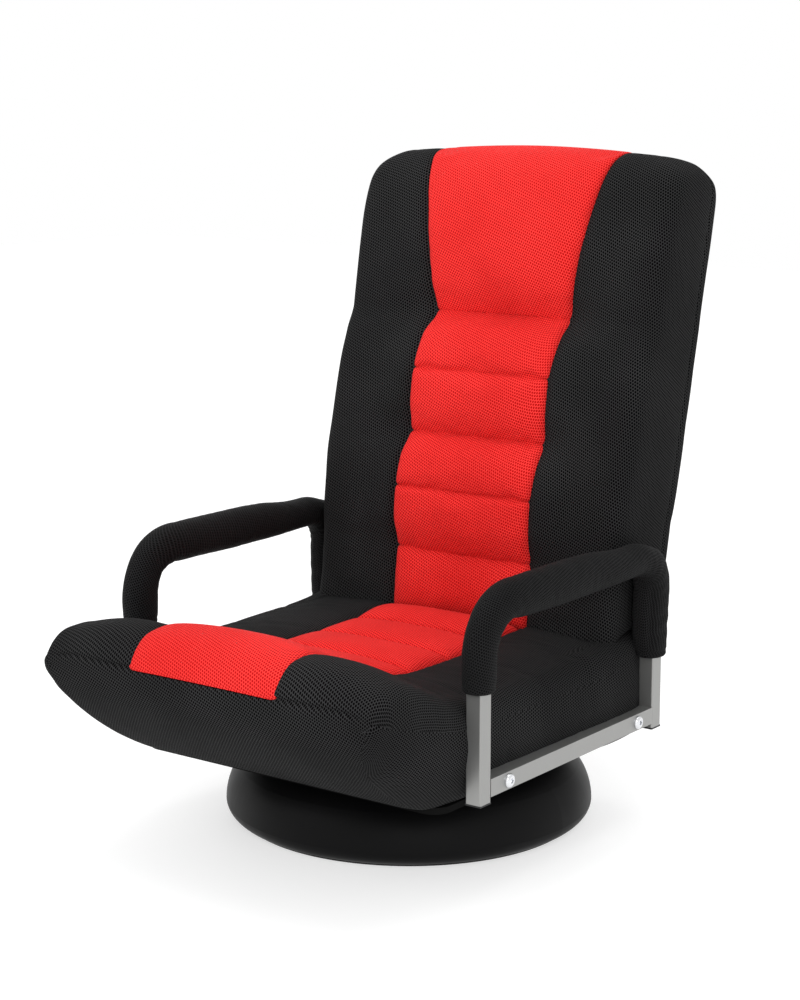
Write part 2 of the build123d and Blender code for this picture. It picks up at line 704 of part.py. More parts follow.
def cross_tube_paths():
    """Lines of the two cross tubes of the back."""
    paths = []
    for along in (0.34 * BACK_LENGTH, 0.66 * BACK_LENGTH):
        plane = back_plane(0)
        ends = []
        for x in (-BACK_TUBE_X, BACK_TUBE_X):
            ends.append(plane.from_local_coords(Vector(along, 0, x)))
        paths.append(Line(*ends))
    return paths


def back_frame():
    """Bent back tube with two cross tubes welded in."""
    frame = tube_along(back_tube_path(), TUBE_RADIUS)
    for path in cross_tube_paths():
        frame += tube_along(path, TUBE_RADIUS - 3)
    return frame - tube_along(back_tube_path(), TUBE_RADIUS - TUBE_WALL)


def back_section(inset):
    """Side outline of the back cushion, up the back and towards the front, set in from its full size."""
    lobe = LOBE_RADIUS - max(0, 0.3 * inset)
    slant = lobe / sqrt(2)
    top = BACK_LENGTH - max(0, 1.7 * inset)
    rear = -BACK_REAR + inset
    waist = (0.18 * BACK_LENGTH, LOBE_RADIUS + 3 - inset)
    chest = (0.38 * BACK_LENGTH, LOBE_RADIUS + 15 - inset)
    neck = (CREASE_U - 20, LOBE_RADIUS + 3 - inset)
    head = (CREASE_U + 0.39 * (BACK_LENGTH - CREASE_U), LOBE_RADIUS + 3 - inset)
    brow = (top - 36, 46 - inset)
    crown_rear = (top - 32, rear + 8)
    loin = (150, rear)
    return closed(
        [
            Line((0, lobe), waist),
            ThreePointArc(waist, chest, neck),
            ThreePointArc(neck, head, brow),
            ThreePointArc(brow, (top, (46 - inset + rear + 8) / 2), crown_rear),
            Line(crown_rear, loin),
            ThreePointArc(loin, (78, rear - 4), (0, -lobe)),
            ThreePointArc((0, -lobe), (-slant, -slant), (-lobe, 0)),
            ThreePointArc((-lobe, 0), (-slant, slant), (0, lobe)),
        ]
    )


def back_body():
    """Crowned back cushion, its edges drawn in, before its hollows are cut."""
    stations = ((0.58, 0), (0.875, 3), (0.965, 12), (1, 26))
    sections = []
    for share, inset in reversed(stations):
        sections.append(back_plane(-share * BACK_HALF_WIDTH) * back_section(inset))
    sections.append(back_plane(0) * back_section(-1))
    for share, inset in stations:
        sections.append(back_plane(share * BACK_HALF_WIDTH) * back_section(inset))
    return loft(sections)


CENTRE_FLOOR = LOBE_RADIUS - 24
HEAD_FLOOR = LOBE_RADIUS - 28
CHANNEL_START = LOBE_RADIUS - 11


def channel_seams(lift):
    """Seams of the red back panel, as points up the back and towards the front."""
    pitch = (CREASE_U - CHANNEL_START) / BACK_CHANNELS
    fronts = (-5, 2, 15, 8, 14, -12)
    seams = []
    for index, front in enumerate(fronts):
        seams.append((CHANNEL_START + index * pitch, LOBE_RADIUS + front - 5 + lift))
    return seams


def back_panel_section(lift):
    """Side outline of the red back panel with its channels."""
    seams = channel_seams(lift)
    start = (seams[0][0], CENTRE_FLOOR)
    end = (seams[-1][0], CENTRE_FLOOR)
    edges = [Line(end, start), Line(start, seams[0])]
    for low, high in zip(seams, seams[1:]):
        middle = ((low[0] + high[0]) / 2, (low[1] + high[1]) / 2 + CHANNEL_BULGE + lift)
        edges.append(ThreePointArc(low, middle, high))
    edges.append(Line(seams[-1], end))
    return closed(edges)


def back_centre_panel():
    """Red channelled panel of the back, crowned across its width."""
    sections = []
    for share, lift in ((-1, 0), (-0.6, 4), (0, 5), (0.6, 4), (1, 0)):
        sections.append(back_plane(share * PANEL_HALF_WIDTH) * back_panel_section(lift))
    return loft(sections)


def centre_recess():
    """Recess in the back for its red channelled panel."""
    length = CREASE_U - CHANNEL_START
    face = Pos(CHANNEL_START + length / 2, CENTRE_FLOOR + 50) * Rectangle(length, 100)
    return back_slab(face, -PANEL_HALF_WIDTH, PANEL_HALF_WIDTH)


def head_prism():
    """Block over the head panel's outline, widening to the top of the back."""
    low, high = CREASE_U, BACK_LENGTH + 20
    outline = Polyline(
        (low, -PANEL_HALF_WIDTH), (high, -HEAD_HALF_WIDTH), (high, HEAD_HALF_WIDTH), (low, PANEL_HALF_WIDTH), close=True
    )
    plane = back_plane(0)
    face_plane = Plane(
        origin=plane.from_local_coords(Vector(0, HEAD_FLOOR, 0)), x_dir=plane.x_dir, z_dir=plane.y_dir
    )
    return extrude(face_plane * make_face(outline), 100)


def head_panel():
    """Red head panel above the deep crease."""
    start = (CREASE_U, HEAD_FLOOR)
    crease = (CREASE_U, LOBE_RADIUS - 14)
    bulge = (CREASE_U + 0.37 * (BACK_LENGTH - CREASE_U), LOBE_RADIUS + 9)
    brow = (BACK_LENGTH - 34, 48)
    end = (BACK_LENGTH - 12, HEAD_FLOOR)
    face = closed(
        [
            Line(end, start),
            Line(start, crease),
            ThreePointArc(crease, bulge, brow),
            ThreePointArc(brow, (BACK_LENGTH - 21, 42), end),
        ]
    )
    return back_slab(face, -2 * HEAD_HALF_WIDTH, 2 * HEAD_HALF_WIDTH) & head_prism()


def rear_face(grow):
    """Outline of the rear panel's thickness."""
    low, high = 180, BACK_LENGTH - 66
    slope = 8 / (BACK_LENGTH - 32 - 150)
    low_v = -BACK_REAR + slope * (low - 150)
    high_v = -BACK_REAR + slope * (high - 150)
    points = [(low, low_v - grow), (high, high_v - grow), (high, high_v + 3), (low, low_v + 3)]
    return make_face(Polyline(*points, close=True))


def back_rear_panel():
    """Plain black panel closing the cover behind."""
    width = BACK_HALF_WIDTH - 40
    return back_slab(rear_face(0), -width, width)


def back_hollows():
    """Hollows in the back cushion for the steelwork, the hinge and the set-in panels."""
    cuts = [tube_along(back_tube_path(), TUBE_RADIUS + SLIDE)]
    for path in cross_tube_paths():
        cuts.append(tube_along(path, TUBE_RADIUS - 3 + SLIDE))
    reach = EAR_RADIUS + 1.5 * SOFT
    notch = rod_x(reach, LOBE_HALF_WIDTH, BACK_HALF_WIDTH + 20, HINGE_Y, HINGE_Z)
    cuts += [notch, other_side(notch)]
    arm = back_slab(arm_outline(SOFT), ARM_PLATE_X - SLIDE, ARM_PLATE_X + ARM_PLATE + SLIDE)
    cuts += [arm, other_side(arm)]
    width = BACK_HALF_WIDTH - 40
    cuts += [centre_recess(), head_prism(), back_slab(rear_face(20), -width, width)]
    return cuts


def back_pad():
    """Back cushion with its rounded lower end and its hollows."""
    pad = back_body()
    for cut in back_hollows():
        pad -= cut
    return pad


# Armrests, left side


def arm_path(front_end, rear_end):
    """Line of the armrest tube: up the front post, along the arm and down the rear post."""
    points = [
        (ARM_X, FRONT_POST_Y, front_end),
        (ARM_X, FRONT_POST_Y, ARM_HEIGHT),
        (ARM_X, REAR_POST_Y, ARM_HEIGHT),
        (ARM_X, REAR_POST_Y, rear_end),
    ]
    return FilletPolyline(*points, radius=(FRONT_BEND, REAR_BEND))


def square_tube(path, size):
    """Square bar along an armrest path."""
    return sweep(Plane(origin=path @ 0, x_dir=(1, 0, 0), z_dir=path % 0) * RectangleRounded(size, size, 2), path=path)


def armrest_frame():
    """Bent square tube with a rail welded between its posts, drilled for two bolts."""
    path = arm_path(POST_BOTTOM, POST_BOTTOM)
    length = REAR_POST_Y - FRONT_POST_Y
    middle = Pos(ARM_X, (FRONT_POST_Y + REAR_POST_Y) / 2, RAIL_Z)
    frame = square_tube(path, ARM_TUBE) + middle * Box(ARM_TUBE, length - ARM_TUBE, ARM_TUBE)
    inner = ARM_TUBE - 2 * ARM_WALL
    frame -= square_tube(path, inner)
    frame -= middle * Box(inner, length - ARM_TUBE - 2 * ARM_WALL, inner)
    for y in (FRONT_BOLT_Y, REAR_BOLT_Y):
        frame -= rod_x(ARM_BOLT_RADIUS, ARM_INNER_X - 1, ARM_OUTER_X + 1, y, RAIL_Z)
    return frame


def armrest_sleeve():
    """Padded sleeve drawn over the arm and the upper ends of its posts."""
    path = arm_path(SLEEVE_FRONT_END, SLEEVE_REAR_END)
    longer = arm_path(SLEEVE_FRONT_END - 5, SLEEVE_REAR_END - 5)
    return tube_along(path, SLEEVE_RADIUS) - square_tube(longer, ARM_TUBE)


def armrest_bolts():
    """Two button-head bolts through the rail into the bushes."""
    bolts = []
    for y in (FRONT_BOLT_Y, REAR_BOLT_Y):
        head = rod_x(BUTTON_RADIUS, ARM_OUTER_X, ARM_OUTER_X + BUTTON_HEIGHT, y, RAIL_Z)
        head = fillet(head.faces().sort_by(Axis.X)[-1].edges(), BUTTON_HEIGHT - 1)
        head -= hex_x(SOCKET_RADIUS, ARM_OUTER_X + 1.5, ARM_OUTER_X + 9, y, RAIL_Z)
        bolts.append(head + rod_x(ARM_BOLT_RADIUS, SEAT_PLATE_X + 1, ARM_OUTER_X, y, RAIL_Z))
    return Compound(children=bolts)


def post_end_plugs():
    """Plastic plugs in the lower ends of the four posts."""
    inner = ARM_TUBE - 2 * ARM_WALL
    plugs = []
    for x in (-ARM_X, ARM_X):
        for y in (FRONT_POST_Y, REAR_POST_Y):
            cap = Pos(x, y, POST_BOTTOM - 1) * Box(ARM_TUBE, ARM_TUBE, 2)
            plug = Pos(x, y, POST_BOTTOM + PLUG_DEPTH / 2) * Box(inner - 2, inner - 2, PLUG_DEPTH)
            plugs.append(cap + plug)
    return Compound(children=plugs)


# Every piece by name


def pieces():
    """All the pieces of the chair by node name."""
    found = {
        "base_shell": base_shell(),
        "floor_ring": floor_ring(),
        "base_screws": base_screws(),
        "swivel_lower_plate": swivel_lower_plate(),
        "swivel_rivet": swivel_rivet(),
        "ball_cage": ball_cage(),
        "bearing_balls": bearing_balls(),
        "swivel_upper_plate": swivel_upper_plate(),
        "swivel_bolts": swivel_bolts(),
        "swivel_nuts": swivel_nuts(),
        "front_mount_bar": mount_bar(-SEAT_BOLT_PITCH / 2),
        "rear_mount_bar": mount_bar(SEAT_BOLT_PITCH / 2),
        "seat_frame": seat_frame(),
        "seat_bottom_board": seat_bottom_board(),
        "seat_pad": seat_pad(),
        "seat_centre_panel": seat_centre_panel(),
        "back_frame": back_frame(),
        "back_pad": back_pad(),
        "back_centre_panel": back_centre_panel(),
        "head_panel": head_panel(),
        "back_rear_panel": back_rear_panel(),
        "post_end_plugs": post_end_plugs(),
    }
    paired = {
        "armrest_frame": armrest_frame(),
        "armrest_sleeve": armrest_sleeve(),
        "armrest_bolts": armrest_bolts(),
        "hinge_plate": hinge_plate(),
        "hinge_pin": hinge_pin(),
        "hinge_arm": hinge_arm(),
        "pawl_pin": pawl_pin(),
        "pawl": pawl(),
        "pawl_spring": pawl_spring(),
    }
    for name, shape in paired.items():
        found["left_" + name] = shape
        found["right_" + name] = other_side(shape)
    return found


os.makedirs("parts", exist_ok=True)
for node, shape in pieces().items():
    export_step(shape, f"parts/{node}.step")
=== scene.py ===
"""Looks of a padded floor chair that turns on a round base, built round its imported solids.

Sizes are in millimetres in the frame of the solids: +Z is up, the chair faces -Y and the sitter's left is +X.
"""

import logging
import math
from abc import ABC, abstractmethod
from collections.abc import Iterable, Sequence
from dataclasses import dataclass
from enum import Enum

import bmesh
import bpy
import numpy as np
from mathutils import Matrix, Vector


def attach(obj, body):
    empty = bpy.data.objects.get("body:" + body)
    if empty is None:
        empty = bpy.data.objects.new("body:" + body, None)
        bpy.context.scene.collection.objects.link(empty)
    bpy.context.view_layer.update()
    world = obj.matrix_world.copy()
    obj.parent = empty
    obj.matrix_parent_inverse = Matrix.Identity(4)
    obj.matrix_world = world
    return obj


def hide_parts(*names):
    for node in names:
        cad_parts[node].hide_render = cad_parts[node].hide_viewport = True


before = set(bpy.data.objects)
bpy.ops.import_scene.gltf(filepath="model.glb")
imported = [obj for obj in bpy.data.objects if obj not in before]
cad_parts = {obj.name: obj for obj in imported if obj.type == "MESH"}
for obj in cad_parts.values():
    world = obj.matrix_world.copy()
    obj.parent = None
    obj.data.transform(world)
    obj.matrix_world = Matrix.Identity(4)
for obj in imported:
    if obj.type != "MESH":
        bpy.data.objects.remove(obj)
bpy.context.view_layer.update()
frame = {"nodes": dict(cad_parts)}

LOG = logging.getLogger("floor_chair")
MM = 0.001
Array = np.ndarray
Pair = tuple[float, float]
Colour = tuple[float, float, float]
Socket = bpy.types.NodeSocket
Value = Socket | float | int | Sequence[float]
Inputs = dict[str | int, Value]


class Body(Enum):
    """Bodies of the chair that pieces ride on."""

    SEAT = "seat"
    BACK = "back"


class Slot(Enum):
    """Material slots of the record."""

    BLACK_MESH = "black_mesh"
    SLEEVE_MESH = "sleeve_mesh"
    RED_MESH = "red_mesh"


class Side(Enum):
    """Sides of the chair, as the sign of X."""

    LEFT = 1
    RIGHT = -1

    @property
    def word(self) -> str:
        """Name of the side in lower case."""
        return self.name.lower()


# Lines and smooth values


def ease(low: float, high: float, value: Array) -> Array:
    """Smooth step from 0 at low to 1 at high."""
    share = np.clip((value - low) / (high - low), 0.0, 1.0)
    return share * share * (3.0 - 2.0 * share)


@dataclass(frozen=True)
class Span:
    """A stretch where something shows, eased in at its start and out at its end."""

    start: Pair
    end: Pair

    def __call__(self, at: Array) -> Array:
        """Share that shows at each place."""
        return ease(*self.start, at) * (1 - ease(*self.end, at))


@dataclass(frozen=True)
class Profile:
    """A smooth value along a line, drawn through knots without overshooting them."""

    knots: tuple[Pair, ...]

    def __call__(self, at: Array | float) -> Array:
        """Find the value at each place.

        Args:
            at: Places along the line; those past an end take the end's value.

        Returns:
            The values, in the shape of the places.
        """
        place, value = np.array(self.knots, float).T
        gap = np.diff(place)
        slope = np.diff(value) / gap
        tangent = np.zeros_like(value)
        near, far = slope[:-1], slope[1:]
        first, second = 2 * gap[1:] + gap[:-1], gap[1:] + 2 * gap[:-1]
        same = near * far > 0
        safe_near, safe_far = np.where(same, near, 1.0), np.where(same, far, 1.0)
        tangent[1:-1] = np.where(same, (first + second) / (first / safe_near + second / safe_far), 0.0)
        tangent[0], tangent[-1] = slope[0], slope[-1]
        at = np.clip(np.asarray(at, float), place[0], place[-1])
        index = np.clip(np.searchsorted(place, at, side="right") - 1, 0, len(gap) - 1)
        t = (at - place[index]) / gap[index]
        rise = (3 - 2 * t) * t * t
        value_part = value[index] * (1 - rise) + value[index + 1] * rise
        bend = tangent[index] * t * (1 - t) ** 2 - tangent[index + 1] * t * t * (1 - t)
        return value_part + bend * gap[index]


@dataclass(frozen=True)
class Outline:
    """A smooth line in a plane through numbered points."""

    points: tuple[Pair, ...]

    def __call__(self, at: Array) -> Array:
        """Find points of the line.

        Args:
            at: Point numbers, with fractions between the points.

        Returns:
            The points, with one more axis of length 2.
        """
        parts = [Profile(tuple((float(i), p[k]) for i, p in enumerate(self.points))) for k in range(2)]
        return np.stack([part(at) for part in parts], axis=-1)

    def stations(self, step: float) -> Array:
        """Point numbers that lie about one step apart along the line."""
        numbers = np.linspace(0, len(self.points) - 1, 40 * len(self.points))
        run = run_of(self(numbers), 0)
        return np.interp(np.linspace(0, run[-1], int(run[-1] / step) + 1), run, numbers)


def run_of(points: Array, axis: int) -> Array:
    """Length walked along one axis of a grid of points, from its start."""
    steps = np.linalg.norm(np.diff(points, axis=axis), axis=-1)
    start = np.zeros_like(np.take(steps, [0], axis=axis))
    return np.concatenate([start, np.cumsum(steps, axis=axis)], axis=axis)


# Meshes


def added(name: str, data: bpy.types.ID) -> bpy.types.Object:
    """Put a new object in the scene."""
    made = bpy.data.objects.new(name, data)
    bpy.context.scene.collection.objects.link(made)
    return made


@dataclass
class Sheet:
    """A grid of points, with its lengths of cloth and how firmly each point is held."""

    points: Array
    cloth: Array
    held: Array

    @classmethod
    def of(cls, points: Array, held: Array | float) -> "Sheet":
        """Make a sheet whose cloth lengths are walked along the grid.

        Args:
            points: Grid of points, (rows, columns, 3).
            held: How firmly the points are held, from 0 to 1.

        Returns:
            The sheet.
        """
        cloth = np.stack([run_of(points, 1), run_of(points, 0)], axis=-1)
        return cls(points, cloth, np.broadcast_to(np.asarray(held, float), points.shape[:2]).copy())

    def part(self, rows: slice, columns: slice) -> "Sheet":
        """A piece of the sheet."""
        return Sheet(self.points[rows, columns], self.cloth[rows, columns], self.held[rows, columns])

    def mirrored(self) -> "Sheet":
        """The same sheet on the other side of the chair."""
        return Sheet(self.points * (-1, 1, 1), self.cloth * (-1, 1), self.held)


def mesh_of(name: str, sheets: Iterable[Sheet], weld: float = 0.12) -> bpy.types.Object:
    """Weld sheets into one closed, smooth mesh.

    Args:
        name: Name of the piece.
        sheets: Sheets whose edges meet.
        weld: Distance below which points become one, in millimetres.

    Returns:
        The piece, with a cloth map called weave and a point value called held.
    """
    points, cloth, held, faces, start = [], [], [], [], 0
    for sheet in sheets:
        rows, columns = sheet.held.shape
        index = np.arange(rows * columns).reshape(rows, columns) + start
        corners = (index[:-1, :-1], index[:-1, 1:], index[1:, 1:], index[1:, :-1])
        faces.append(np.stack(corners, axis=-1).reshape(-1, 4))
        points.append(sheet.points.reshape(-1, 3))
        cloth.append(sheet.cloth.reshape(-1, 2))
        held.append(sheet.held.ravel())
        start += rows * columns
    quads, lengths = np.concatenate(faces), np.concatenate(cloth)
    mesh = bpy.data.meshes.new(name)
    mesh.from_pydata((np.concatenate(points) * MM).tolist(), [], quads.tolist())
    weave = mesh.uv_layers.new(name="weave")
    weave.data.foreach_set("uv", (lengths[quads.ravel()] * MM).ravel().astype(np.float32))
    value = mesh.attributes.new("held", "FLOAT", "POINT")
    value.data.foreach_set("value", np.concatenate(held).astype(np.float32))
    work = bmesh.new()
    work.from_mesh(mesh)
    bmesh.ops.remove_doubles(work, verts=work.verts[:], dist=weld * MM)
    bmesh.ops.dissolve_degenerate(work, edges=work.edges[:], dist=1e-6)
    bmesh.ops.recalc_face_normals(work, faces=work.faces[:])
    work.to_mesh(mesh)
    work.free()
    mesh.polygons.foreach_set("use_smooth", np.ones(len(mesh.polygons), bool))
    return added(name, mesh)


def places_of(mesh: bpy.types.Mesh) -> Array:
    """Places of a mesh's points, in metres."""
    found = np.zeros(len(mesh.vertices) * 3, np.float32)
    mesh.vertices.foreach_get("co", found)
    return found.reshape(-1, 3).astype(float)


@dataclass(frozen=True)
class Filling:
    """How a sewn cover is filled: a short cloth run with pressure inside, held along its seams."""

    pressure: float = 4.0
    slack: float = 0.01
    bending: float = 0.6
    tension: float = 12.0
    cap: float = 6.0
    quality: int = 6
    mass: float = 0.25
    frames: int = 20

    def fill(self, piece: bpy.types.Object) -> None:
        """Run the cloth on a piece and keep the result in its mesh.

        Args:
            piece: Closed mesh with a point value called held.
        """
        mesh = piece.data
        held = np.zeros(len(mesh.vertices), np.float32)
        mesh.attributes["held"].data.foreach_get("value", held)
        group = piece.vertex_groups.new(name="held")
        for level in np.unique(np.round(held, 2)):
            chosen = np.flatnonzero(np.round(held, 2) == level).tolist()
            group.add(chosen, float(level), "REPLACE")
        rest = places_of(mesh)
        cloth = piece.modifiers.new("filling", "CLOTH")
        settings = cloth.settings
        settings.quality, settings.mass = self.quality, self.mass
        settings.tension_stiffness = settings.compression_stiffness = self.tension
        settings.shear_stiffness = self.tension / 2
        settings.bending_stiffness = self.bending
        settings.vertex_group_mass = "held"
        settings.pin_stiffness = 1.0
        settings.use_pressure = True
        settings.uniform_pressure_force = self.pressure
        settings.shrink_min = -self.slack
        settings.effector_weights.gravity = 0.0
        cloth.collision_settings.use_collision = False
        cloth.point_cache.frame_start, cloth.point_cache.frame_end = 1, self.frames
        for number in range(1, self.frames + 1):
            bpy.context.scene.frame_set(number)
        result = piece.evaluated_get(bpy.context.evaluated_depsgraph_get())
        moved = places_of(result.data) - rest
        reach = np.linalg.norm(moved, axis=1, keepdims=True)
        moved *= np.minimum(1.0, self.cap * MM / np.maximum(reach, 1e-9))
        piece.modifiers.remove(cloth)
        piece.vertex_groups.clear()
        mesh.vertices.foreach_set("co", (rest + moved).astype(np.float32).ravel())
        mesh.update()
        bpy.context.scene.frame_set(1)
        LOG.info("%s filled, moved up to %.1f mm", piece.name, float(reach.max()) / MM)


# Finishes


class Shader:
    """A material's node tree, with short ways to add and join nodes."""

    def __init__(self, name: str) -> None:
        """Start a material with its surface shader.

        Args:
            name: Name of the material.
        """
        self.material = bpy.data.materials.new(name)
        self.material.use_nodes = True
        self.tree = self.material.node_tree
        self.surface = next(n for n in self.tree.nodes if n.type == "BSDF_PRINCIPLED")

    def set(self, socket: Socket, value: Value) -> None:
        """Link a socket to another, or give it a constant."""
        if isinstance(value, Socket):
            self.tree.links.new(value, socket)
        else:
            socket.default_value = value

    def node(self, kind: str, inputs: Inputs | None = None, **options: object) -> bpy.types.Node:
        """Add a node.

        Args:
            kind: Blender's name of the node.
            inputs: Values or sockets by input name or number.
            options: Node properties.

        Returns:
            The node.
        """
        made = self.tree.nodes.new(kind)
        for key, value in options.items():
            setattr(made, key, value)
        for key, value in (inputs or {}).items():
            self.set(made.inputs[key], value)
        return made

    def math(self, operation: str, *values: Value) -> Socket:
        """Result of a math node."""
        return self.node("ShaderNodeMath", dict(enumerate(values)), operation=operation).outputs[0]

    def vector(self, operation: str, first: Value, second: Value) -> Socket:
        """Result of a vector math node with two vectors."""
        made = self.node("ShaderNodeVectorMath", {0: first, 1: second}, operation=operation)
        return made.outputs["Value" if operation == "DOT_PRODUCT" else "Vector"]

    def mix(self, share: Value, first: Value, second: Value) -> Socket:
        """Mix of two colours."""
        return self.node("ShaderNodeMix", {0: share, 6: first, 7: second}, data_type="RGBA").outputs[2]

    def spread(self, share: Value, colour: Colour, low: float, high: float) -> Socket:
        """Mix of a darker and a lighter shade of a colour."""
        dark, light = (rgba(tuple(min(1.0, part * c) for c in colour)) for part in (low, high))
        return self.mix(share, dark, light)

    def step(self, value: Value, low: float, high: float, start: float = 0.0, end: float = 1.0) -> Socket:
        """Smooth step of a value from one range to another."""
        inputs: Inputs = {0: value, 1: low, 2: high, 3: start, 4: end}
        return self.node("ShaderNodeMapRange", inputs, interpolation_type="SMOOTHSTEP").outputs[0]

    def noise(self, scale: float, detail: float, where: Value, output: int = 0) -> Socket:
        """Noise of a given scale: its value, or its colour as output 1."""
        inputs: Inputs = {"Scale": scale, "Detail": detail, "Vector": where}
        return self.node("ShaderNodeTexNoise", inputs).outputs[output]

    def place(self) -> Socket:
        """Place on the piece, in metres."""
        return self.node("ShaderNodeTexCoord").outputs["Object"]

    def bump(self, height: Value, distance: float, strength: float) -> None:
        """Raise the surface by a height."""
        inputs: Inputs = {"Height": height, "Distance": distance, "Strength": strength}
        self.surfaces(Normal=self.node("ShaderNodeBump", inputs).outputs[0])

    def surfaces(self, **values: Value) -> None:
        """Set inputs of the surface shader, by name with underscores."""
        for key, value in values.items():
            self.set(self.surface.inputs[key.replace("_", " ")], value)


def rgba(colour: Colour) -> tuple[float, float, float, float]:
    """Colour with full cover."""
    return (*colour, 1.0)


@dataclass(frozen=True)
class MeshCloth:
    """Spacer mesh cloth: a hexagonal field of small holes between rounded threads."""

    name: str
    thread: Colour
    hole: Colour
    pitch: float = 3.2
    stretch: float = 1.25
    slant: float = 14.0
    relief: float = 0.8
    drift: float = 1.2
    drift_scale: float = 55.0
    patch_scale: float = 7.0
    fuzz_scale: float = 900.0
    shades: Pair = (0.86, 1.22)
    sheen: float = 0.02
    roughness: float = 0.75
    shine: float = 0.05

    def build(self) -> bpy.types.Material:
        """Make the material; its cloth lengths come from the weave map.

        Returns:
            The material.
        """
        shader = Shader(self.name)
        cloth = shader.node("ShaderNodeUVMap", uv_map="weave").outputs[0]
        drift = shader.vector("SUBTRACT", shader.noise(self.drift_scale, 1.0, cloth, 1), (0.5, 0.5, 0.5))
        scaled: Inputs = {0: drift, "Scale": self.drift * MM}
        drift = shader.node("ShaderNodeVectorMath", scaled, operation="SCALE").outputs[0]
        cloth = shader.vector("ADD", cloth, drift)
        waves = []
        turns = 2 * math.pi * 2 / (math.sqrt(3) * self.pitch * MM)
        for angle in (0, 120, 240):
            turn = math.radians(angle + self.slant)
            way = (turns * math.cos(turn), turns * math.sin(turn) / self.stretch, 0.0)
            waves.append(shader.math("COSINE", shader.vector("DOT_PRODUCT", cloth, way)))
        field = shader.math("ADD", shader.math("ADD", waves[0], waves[1]), waves[2])
        hole = shader.step(field, -1.0, 0.5)
        place = shader.place()
        patchy = shader.step(shader.noise(self.patch_scale, 3.0, place), 0.3, 0.7)
        fuzz = shader.noise(self.fuzz_scale, 2.0, place)
        worn = shader.spread(patchy, self.thread, *self.shades)
        height = shader.math("MULTIPLY_ADD", fuzz, 0.25, shader.math("SUBTRACT", 1.0, hole))
        shader.bump(height, self.relief * MM, 0.85)
        rough = shader.step(fuzz, 0.2, 0.8, self.roughness - 0.06, self.roughness + 0.12)
        shader.surfaces(Base_Color=shader.mix(hole, worn, rgba(self.hole)), Roughness=rough)
        shader.surfaces(Sheen_Weight=self.sheen, Sheen_Roughness=0.45, Specular_IOR_Level=self.shine)
        return shader.material


@dataclass(frozen=True)
class Moulded:
    """Moulded plastic, rubber or pressed board with a fine grain."""

    name: str
    colour: Colour
    roughness: float
    grain: float = 0.04
    scale: float = 900.0
    cloud_scale: float = 9.0
    shades: Pair = (0.8, 1.25)
    shine: float = 0.3

    def build(self) -> bpy.types.Material:
        """Make the material.

        Returns:
            The material.
        """
        shader = Shader(self.name)
        place = shader.place()
        grain = shader.noise(self.scale, 3.0, place)
        cloudy = shader.noise(self.cloud_scale, 4.0, place)
        rough = shader.step(cloudy, 0.25, 0.75, self.roughness - 0.05, self.roughness + 0.07)
        shader.surfaces(Base_Color=shader.spread(cloudy, self.colour, *self.shades), Roughness=rough)
        shader.bump(grain, self.grain * MM, 0.6)
        shader.surfaces(Specular_IOR_Level=self.shine)
        return shader.material


@dataclass(frozen=True)
class Metal:
    """Steel with a painted, plated or plain surface, a little worn on its edges."""

    name: str
    colour: Colour
    worn: Colour
    metallic: float
    roughness: float
    grain: float = 0.03
    peel_scale: float = 1400.0
    cloud_scale: float = 16.0
    shades: Pair = (0.97, 1.03)
    edge: float = 0.8

    def build(self) -> bpy.types.Material:
        """Make the material.

        Returns:
            The material.
        """
        shader = Shader(self.name)
        place = shader.place()
        peel = shader.noise(self.peel_scale, 2.0, place)
        cloudy = shader.noise(self.cloud_scale, 5.0, place)
        rounded = shader.node("ShaderNodeBevel", {"Radius": self.edge * MM}, samples=4).outputs[0]
        normal = shader.node("ShaderNodeNewGeometry").outputs["Normal"]
        facing = shader.vector("DOT_PRODUCT", rounded, normal)
        wear = shader.math("MULTIPLY", shader.step(facing, 0.98, 0.8), shader.step(cloudy, 0.4, 0.7))
        base = shader.spread(cloudy, self.colour, *self.shades)
        rough = shader.step(peel, 0.3, 0.7, self.roughness - 0.05, self.roughness + 0.05)
        colour = shader.mix(wear, base, rgba(self.worn))
        shader.surfaces(Base_Color=colour, Roughness=rough, Metallic=self.metallic)
        shader.bump(peel, self.grain * MM, 0.5)
        return shader.material


@dataclass(frozen=True)
class Plain:
    """Matt floor paint with the faintest mottle."""

    name: str
    colour: Colour
    glow: float = 0.57

    def build(self) -> bpy.types.Material:
        """Make the material.

        Returns:
            The material.
        """
        shader = Shader(self.name)
        mottle = shader.noise(2.0, 3.0, shader.place())
        paint = shader.spread(mottle, self.colour, 0.99, 1.0)
        shader.surfaces(Base_Color=paint, Roughness=0.6, Specular_IOR_Level=0.2)
        shader.surfaces(Emission_Color=(1, 1, 1, 1), Emission_Strength=self.glow)
        return shader.material


